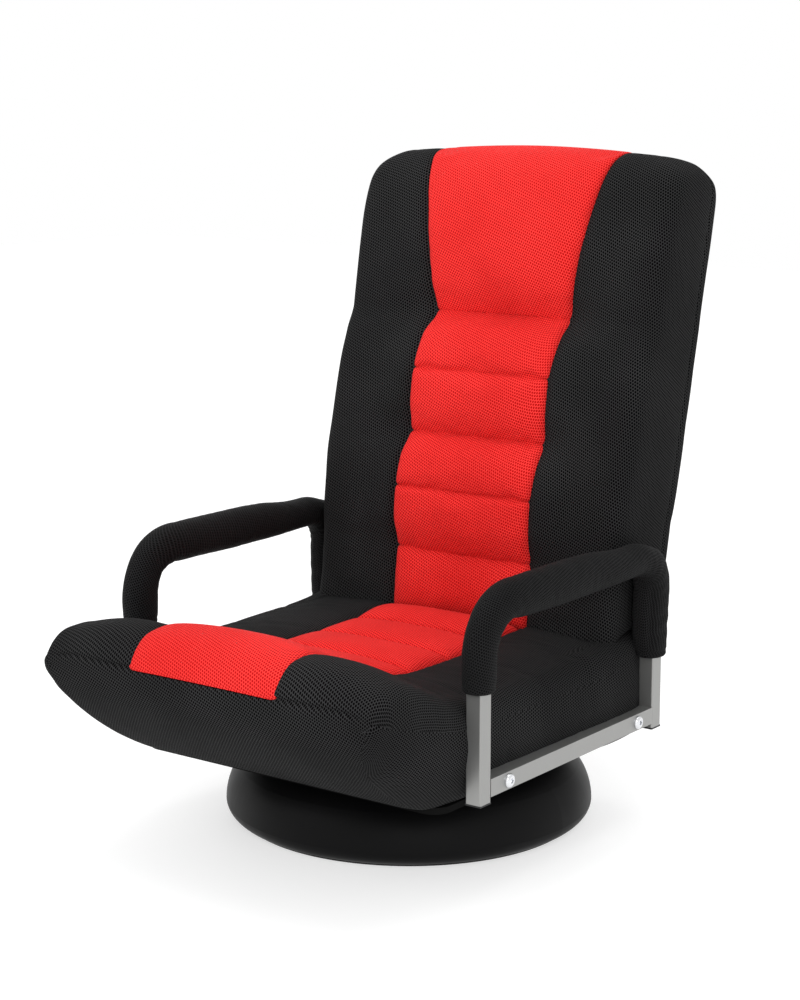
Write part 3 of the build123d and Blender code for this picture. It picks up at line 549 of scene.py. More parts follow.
BLACK_MESH = MeshCloth(
    "black_mesh_cloth", (0.0285, 0.0285, 0.0290), (0.0003, 0.0003, 0.0004), sheen=0.01, shine=0.02)
SLEEVE_MESH = MeshCloth(
    "sleeve_mesh_cloth", (0.0150, 0.0150, 0.0154), (0.0004, 0.0004, 0.0005), pitch=2.8, roughness=0.6,
    shine=0.03)
RED_MESH = MeshCloth("red_mesh_cloth", (0.93, 0.039, 0.035), (0.46, 0.0025, 0.0025), roughness=0.7)
CAD_FINISHES: dict[str, Moulded | Metal] = {
    "base_plastic": Moulded("base_plastic", (0.0026, 0.0026, 0.0028), 0.45, shine=0.09),
    "rubber": Moulded("floor_ring_rubber", (0.014, 0.014, 0.014), 0.8, grain=0.1),
    "board": Moulded("seat_board", (0.005, 0.005, 0.005), 0.9, grain=0.12, scale=400.0, shine=0.05),
    "plug_plastic": Moulded("post_plug_plastic", (0.016, 0.016, 0.017), 0.5),
    "grey_paint": Metal("grey_painted_steel", (0.31, 0.31, 0.303), (0.5, 0.5, 0.49), 0.75, 0.38),
    "black_paint": Metal("black_painted_steel", (0.02, 0.02, 0.021), (0.2, 0.2, 0.2), 0.3, 0.45),
    "zinc": Metal("zinc_plated_steel", (0.72, 0.73, 0.75), (0.85, 0.85, 0.85), 1.0, 0.22),
    "steel": Metal("plain_steel", (0.5, 0.5, 0.51), (0.7, 0.7, 0.7), 1.0, 0.35),
}
CAD_SLOTS: dict[str, tuple[str, ...]] = {
    "base_plastic": ("base_shell",),
    "rubber": ("floor_ring",),
    "board": ("seat_bottom_board",),
    "plug_plastic": ("post_end_plugs",),
    "grey_paint": ("left_armrest_frame", "right_armrest_frame"),
    "black_paint": ("seat_frame", "back_frame", "front_mount_bar", "rear_mount_bar", "left_hinge_plate",
                    "right_hinge_plate", "left_hinge_arm", "right_hinge_arm"),
    "zinc": ("left_armrest_bolts", "right_armrest_bolts", "swivel_bolts", "swivel_nuts", "base_screws",
             "swivel_lower_plate", "swivel_upper_plate", "swivel_rivet"),
}
PLAIN_STEEL = "steel"


# Padded covers


INNER_SHARES: tuple[float, ...] = (0, 0.13, 0.26, 0.39, 0.52, 0.65, 0.77, 0.87, 0.93, 0.97, 1.0)


class Cover(ABC):
    """A padded cover lofted through closed loops, built as one half and its mirror image.

    Each loop stands at a station number. It runs from the middle of the face over the edge, down the side
    and back to the middle of the rear. The widths and the radii of both edges are given by station.
    """

    widths: Profile
    corners: Profile
    low_corners: Profile
    crown_span: Span
    bulge_span: Span
    free: Pair
    bulge: float = 1.0
    corner_steps: int = 6
    corner_fit: float = 0.96
    side_steps: int = 8
    station_gap: float = 7.0
    hold: float = 0.2
    held_edge: float = 8.0
    seam_share: float = 0.9
    seam_groove: float = 2.4
    seam_width: float = 0.02
    seam_step: float = 0.019
    seam_clear: float = 0.06
    panel_depth: float = 9.0
    bed_edge: float = 6.0
    valley_depth: float = 6.0
    valley_width: float = 4.0
    hinge: Pair = (146.0, 158.0)
    lean: float = math.radians(12.5)

    @abstractmethod
    def stations(self) -> Array:
        """Station numbers of the loops."""

    @abstractmethod
    def faces_at(self, at: Array, x: Array) -> tuple[Array, Array]:
        """Points of the face and of the rear, in the plane of the outlines."""

    @abstractmethod
    def lanes(self, at: Array, edge: Array) -> Array:
        """Places across the face, from the middle to the start of the edge."""

    @abstractmethod
    def fall(self, at: Array, x: Array) -> Array:
        """How far the face lies below its outline, panels included."""

    @abstractmethod
    def recess(self, at: Array, x: Array) -> Array:
        """How far the black face lies lower still, under the red panels and in their seams."""

    @abstractmethod
    def cleared(self, x: Array, flat: Array) -> Array:
        """Points in the plane of the outlines, drawn in at a seam or moved clear of a neighbour."""

    @abstractmethod
    def held(self, at: Array, x: Array) -> Array:
        """How firmly the points of the loops are held."""

    @abstractmethod
    def place(self, x: Array, flat: Array) -> Array:
        """Points in the frame from a place across and a point in the plane of the outlines."""

    def belly(self, at: Array, x: Array) -> Array:
        """How far the rear stands out: it is flat, unless a cover crowns it."""
        return np.zeros(np.broadcast(at, x).shape)

    def seam_fade(self, at: Array) -> Array:
        """How much of the seam between the side and the rear shows: none, unless a cover has it."""
        return np.zeros_like(at)

    def side_bulge(self, at: Array) -> Array:
        """How far the side stands out at its middle."""
        return self.bulge * self.bulge_span(at)

    def firm(self, at: Array, held: Array) -> Array:
        """Hold the loops before and past the free ones wholly."""
        return np.where((at < self.free[0]) | (at > self.free[1]), 1.0, held)

    def bed(self, away: Array, valley: Array | float = 1.0) -> Array:
        """Depth of the bed under a panel and of the valley of its seam.

        Args:
            away: Distance beyond the panel's edge.
            valley: Share of the valley that shows.

        Returns:
            Depths in millimetres.
        """
        under = self.panel_depth * (1 - ease(-self.bed_edge, 0, away))
        seam = self.valley_depth * np.exp(-np.abs(away) / self.valley_width) * valley
        return np.maximum(under, seam * (away > -self.bed_edge))

    def surface(self, at: Array, x: Array) -> Array:
        """Points of the face that the red panels follow, in the plane of the outlines."""
        face, rear = self.faces_at(at, x)
        depth = np.linalg.norm(face - rear, axis=-1)
        share = (depth - self.fall(at, x)) / np.maximum(depth, 1e-6)
        return rear + (face - rear) * share[..., None]

    def half(self) -> tuple[Sheet, Sheet]:
        """Build the loops of the half at +X.

        Returns:
            The sheet of the face and the side, and the sheet of the rear.
        """
        at = self.stations()[:, None]
        width, wanted, wanted_low = self.widths(at), self.corners(at), self.low_corners(at)
        border = width - wanted
        face, rear = self.faces_at(at, border)
        rise = np.linalg.norm(face - rear, axis=-1) - self.fall(at, border) - self.recess(at, border)
        fit = np.clip(self.corner_fit * rise / (wanted + wanted_low), 0.0, 1.0)
        radius, low = wanted * fit, wanted_low * fit
        edge, low_edge = width - radius, width - low
        across = self.lanes(at, edge)
        back = self.lanes(at, low_edge)[:, ::-1]
        face, rear = self.faces_at(np.broadcast_to(at, across.shape), across)
        back_face, back_rear = self.faces_at(np.broadcast_to(at, back.shape), back)
        depth = np.linalg.norm(face - rear, axis=-1)
        height = np.maximum(depth - self.fall(at, across) - self.recess(at, across), 0.0)
        top = height[:, -1:]
        turn = np.linspace(0, math.pi / 2, self.corner_steps + 1)[None, :]
        share = np.linspace(0, 1, self.side_steps + 1)[None, 1:-1]
        share = share[np.abs(share - self.seam_share) > self.seam_clear]
        share = np.sort(np.concatenate([share, self.seam_share + self.seam_step * np.arange(-2, 3)]))[None, :]
        seam = self.seam_groove * np.exp(-((share - self.seam_share) / self.seam_width) ** 2)
        x = np.concatenate([
            across,
            edge + radius * np.sin(turn[:, 1:]),
            width + self.side_bulge(at) * np.sin(math.pi * share) - seam * self.seam_fade(at),
            low_edge + low * np.cos(turn[:, :-1]),
            back,
        ], axis=1)
        up = np.concatenate([
            height,
            top - radius * (1 - np.cos(turn[:, 1:])),
            (top - radius) * (1 - share) + low * share,
            low * (1 - np.sin(turn[:, :-1])),
            -self.belly(at, back),
        ], axis=1)
        start = edge + radius * math.pi / 2
        drop = np.maximum(top - radius - low, 0.0)
        wide = np.concatenate([
            across, edge + radius * turn[:, 1:], start + drop * share, start + drop + low * turn[:, :-1],
            back], axis=1)
        side = x.shape[1] - 2 * across.shape[1]
        faces = np.concatenate([face, np.repeat(face[:, -1:], side, axis=1), back_face], axis=1)
        rears = np.concatenate([rear, np.repeat(rear[:, -1:], side, axis=1), back_rear], axis=1)
        span = np.linalg.norm(faces - rears, axis=-1)
        flat = rears + (faces - rears) * (up / np.maximum(span, 1e-6))[..., None]
        flat = np.where(span[..., None] < 1e-6, rears, flat)
        points, held = self.place(x, self.cleared(x, flat)), self.held(at, x)
        cut = x.shape[1] - back.shape[1]
        wide_rear = np.concatenate([low_edge + low * turn[:, 1:2], back], axis=1)
        sheets = []
        parts = ((slice(0, cut), wide[:, :cut], 1), (slice(cut - 1, None), wide_rear, -1))
        for columns, widths, way in parts:
            part = points[:, columns]
            along = np.broadcast_to(way * run_of(part, 0).mean(axis=1, keepdims=True), widths.shape)
            sheets.append(Sheet(part, np.stack([widths, along], axis=-1), held[:, columns]))
        return sheets[0], sheets[1]


@dataclass(frozen=True)
class Seam:
    """A sewn line across a panel: where it lies, how deep it is and how wide its valley is."""

    at: float
    depth: float
    spread: float


@dataclass
class QuiltedPanel:
    """A padded panel set in a cover, crowned across and drawn in along its seams and edges."""

    name: str
    cover: Cover
    start: float
    end: float
    width: Profile
    seams: tuple[Seam, ...]
    crown: float = 5.0
    tuck: float = 8.0
    least_tuck: float = 0.15
    end_tucks: Pair = (8.0, 8.0)
    end_spread: float = 3.5
    rise: Profile = Profile(((0, 1), (40, 1)))
    swell: float = 3.0
    gap: float = 6.0
    depth: float = 15.0
    crown_power: float = 2.2
    swell_powers: Pair = (0.5, 6.0)
    edge_spread: float = 3.5
    end_ease: float = 40.0
    hold: float = 0.15
    rear_share: float = 0.97
    seam_rows: tuple[float, ...] = (-5.2, -3.2, -1.6, -0.6, 0.0, 0.6, 1.6, 3.2, 5.2)
    lanes: tuple[float, ...] = (0, 0.14, 0.28, 0.42, 0.55, 0.67, 0.77, 0.85, 0.91, 0.95, 0.98, 1.0)

    def rows(self) -> Array:
        """Station numbers of the rows, closer together at the seams and ends."""
        fine = np.linspace(self.start, self.end, 3000)
        middle = self.cover.surface(fine, np.zeros_like(fine))
        run = run_of(middle, 0)
        marks = [0.0, run[-1], *(float(np.interp(s.at, fine, run)) for s in self.seams)]
        places = set(np.linspace(0, run[-1], int(run[-1] / self.gap) + 1))
        places = {p for p in places if all(abs(p - mark) > self.gap for mark in marks)}
        places |= {mark + row for mark in marks for row in self.seam_rows}
        inside = np.array(sorted(p for p in places if 0 <= p <= run[-1]))
        return np.interp(inside, run, fine)

    def build(self) -> bpy.types.Object:
        """Build the panel as a closed pillow.

        Returns:
            The piece.
        """
        at = self.rows()[:, None]
        shares = np.array(sorted({-s for s in self.lanes} | set(self.lanes)))[None, :]
        x = self.width(at) * shares
        at = np.broadcast_to(at, x.shape)
        base = self.cover.surface(at, x)
        ahead = np.gradient(base, axis=0)
        out = np.stack([-ahead[..., 1], ahead[..., 0]], axis=-1)
        out /= np.maximum(np.linalg.norm(out, axis=-1, keepdims=True), 1e-9)
        face, rear = self.cover.faces_at(at[:1], x[:1])
        out *= np.sign(np.sum(out[:1] * (face - rear), axis=-1))[..., None]
        run = run_of(base[:, x.shape[1] // 2][:, None], 0)[:, 0]
        away = np.minimum(run, run[-1] - run)[:, None]
        side = self.width(at) * (1 - np.abs(shares))
        lift = self.crown * (1 - np.abs(shares) ** self.crown_power) * ease(0, self.end_ease, away)
        marks = [0.0, *(float(np.interp(s.at, at[:, 0], run)) for s in self.seams), float(run[-1])]
        along, across = self.swell_powers
        for low, high in zip(marks, marks[1:]):
            share = np.clip((run - low) / (high - low), 0, 1)[:, None]
            lift = lift + self.swell * np.sin(math.pi * share) ** along * (1 - np.abs(shares) ** across)
        rise = self.rise(at)
        lift = lift * rise - self.tuck * np.maximum(rise, self.least_tuck) * np.exp(-side / self.edge_spread)
        for tuck, reach in zip(self.end_tucks, (run, run[-1] - run)):
            lift = lift - tuck * np.exp(-reach / self.end_spread)[:, None]
        for seam, mark in zip(self.seams, marks[1:-1]):
            lift = lift - seam.depth * np.exp(-np.abs(run - mark) / seam.spread)[:, None]
        sewn = (side < 1.0) | (away < 1.0)
        for mark in marks[1:-1]:
            sewn = sewn | (np.abs(run - mark) < 0.5)[:, None]
        upper = Sheet.of(self.cover.place(x, base + out * lift[..., None]), np.where(sewn, 1.0, self.hold))
        inner = self.cover.place(self.rear_share * x, base - out * self.depth)
        lower = Sheet.of(inner[:, ::-1], 1.0)
        loops = [
            np.concatenate([g[0], g[1:, -1], g[-1, -2::-1], g[-2::-1, 0]]) for g in (upper.points, inner)]
        return mesh_of(self.name, (upper, lower, Sheet.of(np.stack(loops), 1.0)))


# Seat


LIP_TOP: tuple[Pair, ...] = (
    (-380, 228), (-379, 240), (-368, 261), (-346, 278), (-322, 281), (-295, 273), (-262, 257), (-245, 249),
    (-225, 240), (-180, 227), (-134, 221), (-57, 220), (20, 220))
LIP_BOTTOM: tuple[Pair, ...] = (
    (-380, 228), (-379, 216), (-372, 198), (-358, 179), (-337, 158), (-309, 136), (-273, 114), (-252, 104),
    (-230, 98.5), (-185, 98), (-134, 98), (-57, 98), (20, 98))


@dataclass
class SeatCover(Cover):
    """Black cover of the seat: the lifted lip, the sides, the hollow rear and the ears over the hinges."""

    top: Outline = Outline((
        *LIP_TOP, (50, 220), (75, 220), (90, 220), (93.4, 220.2), (93.8, 220.4), (94, 220.5)))
    bottom: Outline = Outline((*LIP_BOTTOM, (55, 98), (85, 98), (103, 98), (108, 98), (109, 98), (109.2, 98)))
    ear_top: Outline = Outline((
        *LIP_TOP, (80, 221), (120, 224), (150, 226), (182, 215.5), (203, 195), (214, 158)))
    ear_bottom: Outline = Outline((
        *LIP_BOTTOM, (85, 98), (130, 99), (160, 101), (186, 105), (203, 121), (214, 158)))
    widths: Profile = Profile((
        (0, 221), (0.5, 228), (1, 232), (2, 236), (3, 238), (9, 237), (12, 238), (13.2, 240), (14, 239),
        (15, 232), (16, 227), (17, 226), (18, 222)))
    corners: Profile = Profile((
        (0, 8), (1, 12), (2, 18), (3, 23), (5, 26), (12, 28), (13, 26), (15, 14), (16, 10), (18, 8)))
    low_corners: Profile = Profile((
        (0, 10), (1, 20), (2, 30), (3, 42), (5, 54), (7, 58), (8, 56), (9, 48), (10, 38), (11, 30),
        (12, 24), (13, 19), (15, 13), (16, 10), (18, 8)))
    side_fall: Profile = Profile((
        (0, 1), (1, 4), (2, 8), (4, 13), (7, 12), (9, 8), (10, 5), (12, 3), (18, 1)))
    crown: float = 4.0
    crown_span: Span = Span((1, 3), (13, 15))
    bulge: float = 3.0
    bulge_span: Span = Span((0.5, 3), (14, 16))
    free: Pair = (0.3, 12.8)
    nose_rows: tuple[float, ...] = (0, 0.2, 1.25, 1.5, 1.75)
    end_rows: tuple[float, ...] = (13, 14, 15, 16, 17, 17.6, 18)
    nose_end: float = 1.9
    seam_z: float = 242.0
    seam_rows: tuple[float, ...] = (-7, -4.5, -2.6, -1.2, 0, 1.2, 2.6, 4.5, 7)
    seam_drop: float = 5.0
    lip_seam: float = 4.0
    lip_width: float = 2.0
    lip_end: float = -360.0
    side_seam: float = 1.8
    side_line: Profile = Profile((
        (-380, 238), (-369, 234), (-343, 225), (-285, 209), (-245, 198), (-180, 191), (20, 189), (80, 192),
        (120, 201), (150, 209), (182, 203), (203, 184), (214, 160)))
    seam_reach: float = 1.9
    seam_start: float = 5.0
    upper_steps: int = 9
    lower_steps: int = 11
    corner_turn: float = 0.9
    rear_rise: float = 8.0
    panel_edge: float = 102.0
    ear_inner: float = 206.5
    ear_jump: float = 12.0
    outer: tuple[float, ...] = (103.5, 106, 110, 116, 123, 133, 145, 158, 171, 183, 193, 199, 202.5, 206.5)
    room: float = 64.5
    wall_rows: int = 14

    @property
    def count(self) -> int:
        """Number of lanes across half of the top."""
        return len(INNER_SHARES) + len(self.outer) + 1

    def stations(self) -> Array:
        """Station numbers of the loops, closest at the nose and the ears."""
        along = self.ear_top.stations(self.station_gap)
        fine = np.linspace(0, 2, 400)
        seam = np.interp(self.seam_z + np.array(self.seam_rows), self.top(fine)[:, 1], fine)
        return np.unique(np.concatenate([self.nose_rows, seam, along[along > self.nose_end], self.end_rows]))

    def faces_at(self, at: Array, x: Array) -> tuple[Array, Array]:
        """Points of the face and of the underside, the ears' own beyond the hinges."""
        ear = (np.abs(x) > self.ear_inner - 1.0)[..., None]
        face = np.where(ear, self.ear_top(at), self.top(at))
        return face, np.where(ear, self.ear_bottom(at), self.bottom(at))

    def lanes(self, at: Array, edge: Array) -> Array:
        """Places across the top: under the panel, in its seam, over the bolster and the ear."""
        shape = (len(at), len(INNER_SHARES))
        inner = np.broadcast_to(self.panel_edge * np.array(INNER_SHARES)[None, :], shape)
        outer = np.broadcast_to(np.array(self.outer)[None, :], (len(at), len(self.outer)))
        return np.concatenate([inner, np.minimum(outer, edge), edge], axis=1)

    def fall(self, at: Array, x: Array) -> Array:
        """Fall of the lip and the seat towards the sides, and the bolsters' crown."""
        beyond = np.clip((np.abs(x) - self.panel_edge) / (210 - self.panel_edge), 0, 1)
        crown = self.crown * np.sin(math.pi * beyond) * self.crown_span(at)
        rise = self.rear_rise * np.clip(1 - (np.abs(x) / 200) ** 2, 0, 1) * ease(11.3, 13.5, at)
        return self.side_fall(at) * (np.abs(x) / 205) ** 2.4 - crown - rise

    def recess(self, at: Array, x: Array) -> Array:
        """Recess under the red panel and the valley of its seam."""
        return self.bed(np.abs(x) - self.panel_edge, 0.3 + 0.7 * ease(4, 8, at)) * ease(1.0, 1.25, at)

    def cleared(self, x: Array, flat: Array) -> Array:
        """Draw the lip in along the seam between its top and its front."""
        line = self.seam_z - self.seam_drop * ease(185, 232, np.abs(x))
        near = np.exp(-((flat[..., 1] - line) / self.lip_width) ** 2) * (flat[..., 0] < self.lip_end)
        near = near * (1 - 0.7 * ease(200, 230, np.abs(x)))
        return flat + np.stack([self.lip_seam * near, np.zeros_like(near)], axis=-1)

    def place(self, x: Array, flat: Array) -> Array:
        """Points in the frame."""
        return np.stack([x, flat[..., 0], flat[..., 1]], axis=-1)

    def rear_wall(self, start: Array, end: Array) -> Sheet:
        """Close the hollow rear between the top and the underside.

        Args:
            start: Last points of the top lanes.
            end: Last points of the underside lanes.

        Returns:
            The wall, hollow where the back's rounded end turns.
        """
        share = np.linspace(0, 1, self.wall_rows + 1)[:, None]
        wall = start[None] * (1 - share[..., None]) + end[None] * share[..., None]
        height = wall[..., 2] - self.hinge[1]
        tangent = self.room * math.sin(self.lean)
        round_part = self.hinge[0] - np.sqrt(np.maximum(self.room**2 - height**2, 0))
        plane_part = self.hinge[0] - self.room / math.cos(self.lean) + height * math.tan(self.lean)
        hollow = np.where(height > tangent, plane_part, round_part)
        inside = (np.abs(start[:, 0]) < self.ear_inner - 1)[None, :] & (share > 0) & (share < 1)
        wall[..., 1] = np.where(inside, hollow, wall[..., 1])
        return Sheet.of(wall, 1.0)

    def ear_walls(self, sheet: Sheet, column: int) -> list[Sheet]:
        """Cut a sheet at the ear, which has its own lengths of cloth, and whose inner wall lies flat.

        Args:
            sheet: Sheet of the face or of the underside.
            column: Column before the one where the ear's wall jumps.

        Returns:
            The sheets on both sides of the ear's edge, the edge before the ear, and the wall.
        """
        strip = slice(column, column + 2)
        jump = np.linalg.norm(sheet.points[:, column + 1] - sheet.points[:, column], axis=-1)
        first = int(np.flatnonzero(jump > self.ear_jump)[0])
        wall = sheet.part(slice(first, None), strip)
        wall.cloth = wall.points[..., 1:]
        halves = [sheet.part(slice(None), part) for part in (slice(0, column + 1), slice(column + 1, None))]
        ear = max(halves, key=lambda half: half.points[0, :, 0].max())
        ear.cloth = ear.cloth.copy()
        own = run_of(ear.points, 0).mean(axis=1)
        way = np.sign(ear.cloth[-1, 0, 1] - ear.cloth[0, 0, 1])
        ear.cloth[first:, :, 1] = ear.cloth[first, :, 1] + way * (own[first:] - own[first])[:, None]
        return [*halves, sheet.part(slice(0, first + 1), strip), wall]

    def side_band(self, face: Sheet, column: int) -> tuple[Sheet, Sheet]:
        """Cut the side from the top along a drawn-in seam, and lay its cloth flat along the seat.

        Args:
            face: Sheet of the top and the side.
            column: Column where the edge between them starts.

        Returns:
            The sheet of the top and the sheet of the side.
        """
        values = np.concatenate([face.points, face.cloth, face.held[..., None]], axis=-1)
        tail = values[:, column:]
        run = run_of(tail[..., :3], 1)
        above = tail[..., 2] - self.side_line(tail[..., 1])
        cut = np.array([np.interp(0.0, -a, r) for a, r in zip(above, run)])[:, None]
        cut = np.clip(cut, self.seam_start, run[:, -1:] - self.seam_start)
        upper = (cut - self.seam_reach) * np.linspace(0, 1, self.upper_steps)
        below = cut + self.seam_reach
        lower = below + (run[:, -1:] - below) * np.linspace(0, 1, self.lower_steps)
        wanted = np.concatenate([upper, cut, lower], axis=1)
        laid = np.stack([
            np.stack([np.interp(w, r, value) for value in t.T], axis=-1)
            for w, r, t in zip(wanted, run, tail)])
        place = self.upper_steps
        y = laid[:, place, 1]
        shown = ease(-380, -362, y) * (1 - 0.65 * ease(-330, -230, y)) * (1 - ease(40, 100, y))
        laid[:, place] -= self.side_seam * shown[:, None] * np.array([1, 0, 0.4, 0, 0, 0])
        laid[:, place, -1] = 1.0
        parts = (np.concatenate([values[:, :column], laid[:, :place + 1]], axis=1), laid[:, place:])
        top, side = (Sheet(v[..., :3], v[..., 3:5], v[..., 5]) for v in parts)
        x, y, z = np.moveaxis(side.points, -1, 0)
        turned = (math.pi / 2 - 1) * (x.max(axis=1, keepdims=True) - x)
        front = (x.max() - x) * (1 - ease(-372, -345, y))
        side.cloth = np.stack([turned - z, y - self.corner_turn * front], axis=-1)
        return top, side

    def build(self) -> bpy.types.Object:
        """Build the cover."""
        face, rear = self.half()
        wall = self.rear_wall(face.points[-1, :self.count], rear.points[-1, -self.count:][::-1])
        top, side = self.side_band(face, self.count - 1)
        ear = self.count - 3
        sheets = [*self.ear_walls(top, ear), side, *self.ear_walls(rear, 2), *self.ear_walls(wall, ear)]
        return mesh_of("seat_cover", [*sheets, *(s.mirrored() for s in sheets)])

    def held(self, at: Array, x: Array) -> Array:
        """The seams, the nose and the hollow rear are held."""
        held = np.full(x.shape, self.hold)
        held[:, :self.count] = np.where(x < self.panel_edge + self.held_edge, 1.0, held)[:, :self.count]
        held[:, -self.count:] = 1.0
        return self.firm(at, held)


@dataclass
class Seat:
    """Soft pieces of the seat."""

    cover: SeatCover
    seams: tuple[Seam, ...] = (Seam(9.99, 7.0, 1.9), Seam(10.99, 7.0, 1.9), Seam(11.99, 7.0, 1.9))
    panel_width: Profile = Profile((
        (0, 103.5), (1.04, 103.5), (1.3, 106), (2, 106), (4, 105), (8, 102), (10, 101), (18, 101)))
    panel_rise: Profile = Profile(((0, 0.1), (2, 0.5), (4, 0.8), (8, 1), (20, 1)))
    panel_ends: Pair = (1.03, 15.6)

    def build(self) -> list[bpy.types.Object]:
        """Build and dress the cover and its red panel.

        Returns:
            The pieces.
        """
        cover = self.cover.build()
        panel = QuiltedPanel(
            "seat_red_panel", self.cover, *self.panel_ends, self.panel_width, self.seams, crown=4.0,
            swell=4.0, end_tucks=(2.0, 8.0), rise=self.panel_rise).build()
        Filling(pressure=3.0, slack=0.005, cap=4.0).fill(cover)
        Filling(pressure=3.0, slack=0.004, cap=3.0).fill(panel)
        for piece, finish, slot, node in (
            (cover, BLACK_MESH, Slot.BLACK_MESH, "seat_pad"),
            (panel, RED_MESH, Slot.RED_MESH, "seat_centre_panel"),
        ):
            dress(piece, finish, slot, Body.SEAT, (node,))
        return [cover, panel]


# Back


@dataclass
class BackCover(Cover):
    """Black cover of the back: side bolsters, rounded top, plain rear and the end that turns in the seat."""

    front: Outline = Outline((
        (-62, 0), (-59, 19), (-46, 42), (-22, 58), (10, 61), (32, 61.5), (42, 62), (62, 63), (93, 66),
        (127, 70), (165, 78), (203, 81), (240, 82), (280, 80), (320, 79), (355, 77), (395, 71), (430, 64),
        (465, 65), (500, 66), (535, 66), (570, 65), (600, 62), (620, 56), (634, 44), (643, 25), (645, 0)))
    rear: Outline = Outline((
        (-62, 0), (-59, -19), (-46, -42), (-22, -58), (10, -63), (32, -65), (42, -65), (62, -63), (93, -56),
        (127, -53), (165, -52), (203, -51), (240, -51), (280, -51), (320, -50), (355, -50), (395, -49),
        (430, -49), (465, -48), (500, -48), (535, -48), (570, -47), (601, -46), (621, -43), (634, -33),
        (643, -18), (645, 0)))
    widths: Profile = Profile((
        (0, 184), (1, 193), (2, 196), (5, 196), (5.6, 218), (6, 223), (8, 224), (10.5, 224.5), (12, 227),
        (16, 229), (19, 230), (22, 231.5), (23, 230), (24, 223), (25, 210), (26, 190)))
    corners: Profile = Profile((
        (0, 4), (2, 7), (5, 7), (6, 16), (8, 20), (20, 21), (22, 27), (23, 34), (24, 40), (26, 30)))
    low_corners: Profile = Profile(((0, 4), (2, 7), (5, 7), (6, 9), (8, 10), (22, 11), (26, 18)))
    panel_edges: Profile = Profile((
        (0, 102), (16.5, 102), (17, 103), (18, 107), (19, 112), (20, 118), (21, 124), (22, 129), (24, 135),
        (26, 138), (30, 138)))
    step_in: Profile = Profile((
        (6, -4), (8, -1), (9, -2), (10, 6), (11, 8), (12, 4), (12.85, -8), (13.8, 2), (15, 6), (16, 1),
        (17, -15), (18, -4), (19.9, 3), (21.6, 2), (23, 0), (26, 0)))
    step_width: float = 58.0
    least_bolster: float = 12.0
    reach: float = 200.0
    arch: float = 9.0
    crown: float = 5.0
    crown_span: Span = Span((6, 9), (22, 25))
    bulge_span: Span = Span((7, 9), (22, 25))
    bed_span: Span = Span((4.5, 6.5), (24.6, 25.9))
    seam_span: Span = Span((6.5, 8), (24.8, 26))
    free: Pair = (7.2, 25.7)
    end_rows: tuple[float, ...] = (0, 0.3, 0.6, 0.8, 5.6, 6, 25.3, 25.6, 25.8, 26)
    between: Pair = (0.9, 25.2)
    ear_room: float = 71.0
    ear_start: float = 197.0
    outer: tuple[float, ...] = (0.015, 0.04, 0.08, 0.14, 0.22, 0.32, 0.43, 0.55, 0.67, 0.78, 0.88, 0.95, 1.0)

    def stations(self) -> Array:
        """Station numbers of the loops, closest at both ends."""
        along = self.front.stations(self.station_gap)
        inside = (along > self.between[0]) & (along < self.between[1])
        return np.unique(np.concatenate([self.end_rows, along[inside]]))

    def faces_at(self, at: Array, x: Array) -> tuple[Array, Array]:
        """Points of the front and of the rear."""
        shape = np.broadcast(at, x).shape
        return self.front(np.broadcast_to(at, shape)), self.rear(np.broadcast_to(at, shape))

    def lanes(self, at: Array, edge: Array) -> Array:
        """Places across the front: under the panels, in their seam and over the bolster."""
        border = np.minimum(self.panel_edges(at), edge - self.least_bolster)
        outer = border + (edge - border) * np.array(self.outer)[None, :]
        return np.concatenate([border * np.array(INNER_SHARES)[None, :], outer], axis=1)

    def fall(self, at: Array, x: Array) -> Array:
        """Steps of the front beside the panels, fading out towards the side."""
        return -self.step_in(at) * (1 - ease(0, self.step_width, np.abs(x) - self.panel_edges(at)))

    def recess(self, at: Array, x: Array) -> Array:
        """Recess under the red panels and the valley of their seam."""
        return self.bed(np.abs(x) - self.panel_edges(at)) * self.bed_span(at)

    def belly(self, at: Array, x: Array) -> Array:
        """The rear is slightly crowned."""
        across = np.clip(np.abs(x) / self.reach, 0, 1)
        return self.crown * (1 - across**2) * self.crown_span(at)

    def seam_fade(self, at: Array) -> Array:
        """The rear panel is sewn in all the way up the sides."""
        return self.seam_span(at)

    def cleared(self, x: Array, flat: Array) -> Array:
        """Keep the bolsters' lower ends clear of the seat's ears."""
        reach = np.linalg.norm(flat, axis=-1)
        push = (x > self.ear_start) & (reach < self.ear_room)
        grown = flat * (self.ear_room / np.maximum(reach, 1e-6))[..., None]
        return np.where(push[..., None], grown, flat)

    def place(self, x: Array, flat: Array) -> Array:
        """Points in the frame, from up the back and towards the front."""
        sine, cosine = math.sin(self.lean), math.cos(self.lean)
        up = flat[..., 0] - self.arch * (np.abs(x) / self.reach) ** 2 * ease(480, 640, flat[..., 0])
        y = self.hinge[0] + up * sine - flat[..., 1] * cosine
        z = self.hinge[1] + up * cosine + flat[..., 1] * sine
        return np.stack([x, y, z], axis=-1)

    def surface(self, at: Array, x: Array) -> Array:
        """Points of the front and, past the top, of the rear, for the red panels."""
        last = len(self.front.points) - 1
        over = at > last
        turned = np.where(over, 2 * last - at, at)
        front = super().surface(turned, x)
        return np.where(over[..., None], self.rear(turned), front)

    def build(self) -> bpy.types.Object:
        """Build the cover."""
        sheets = self.half()
        return mesh_of("back_cover", [*sheets, *(s.mirrored() for s in sheets)])

    def held(self, at: Array, x: Array) -> Array:
        """The seams, the rounded lower end and the top line are held."""
        lanes = len(INNER_SHARES) + len(self.outer)
        held = np.full(x.shape, self.hold)
        panel = np.abs(x) < self.panel_edges(at) + self.held_edge
        held[:, :lanes] = np.where(panel, 1.0, held)[:, :lanes]
        return self.firm(at, held)


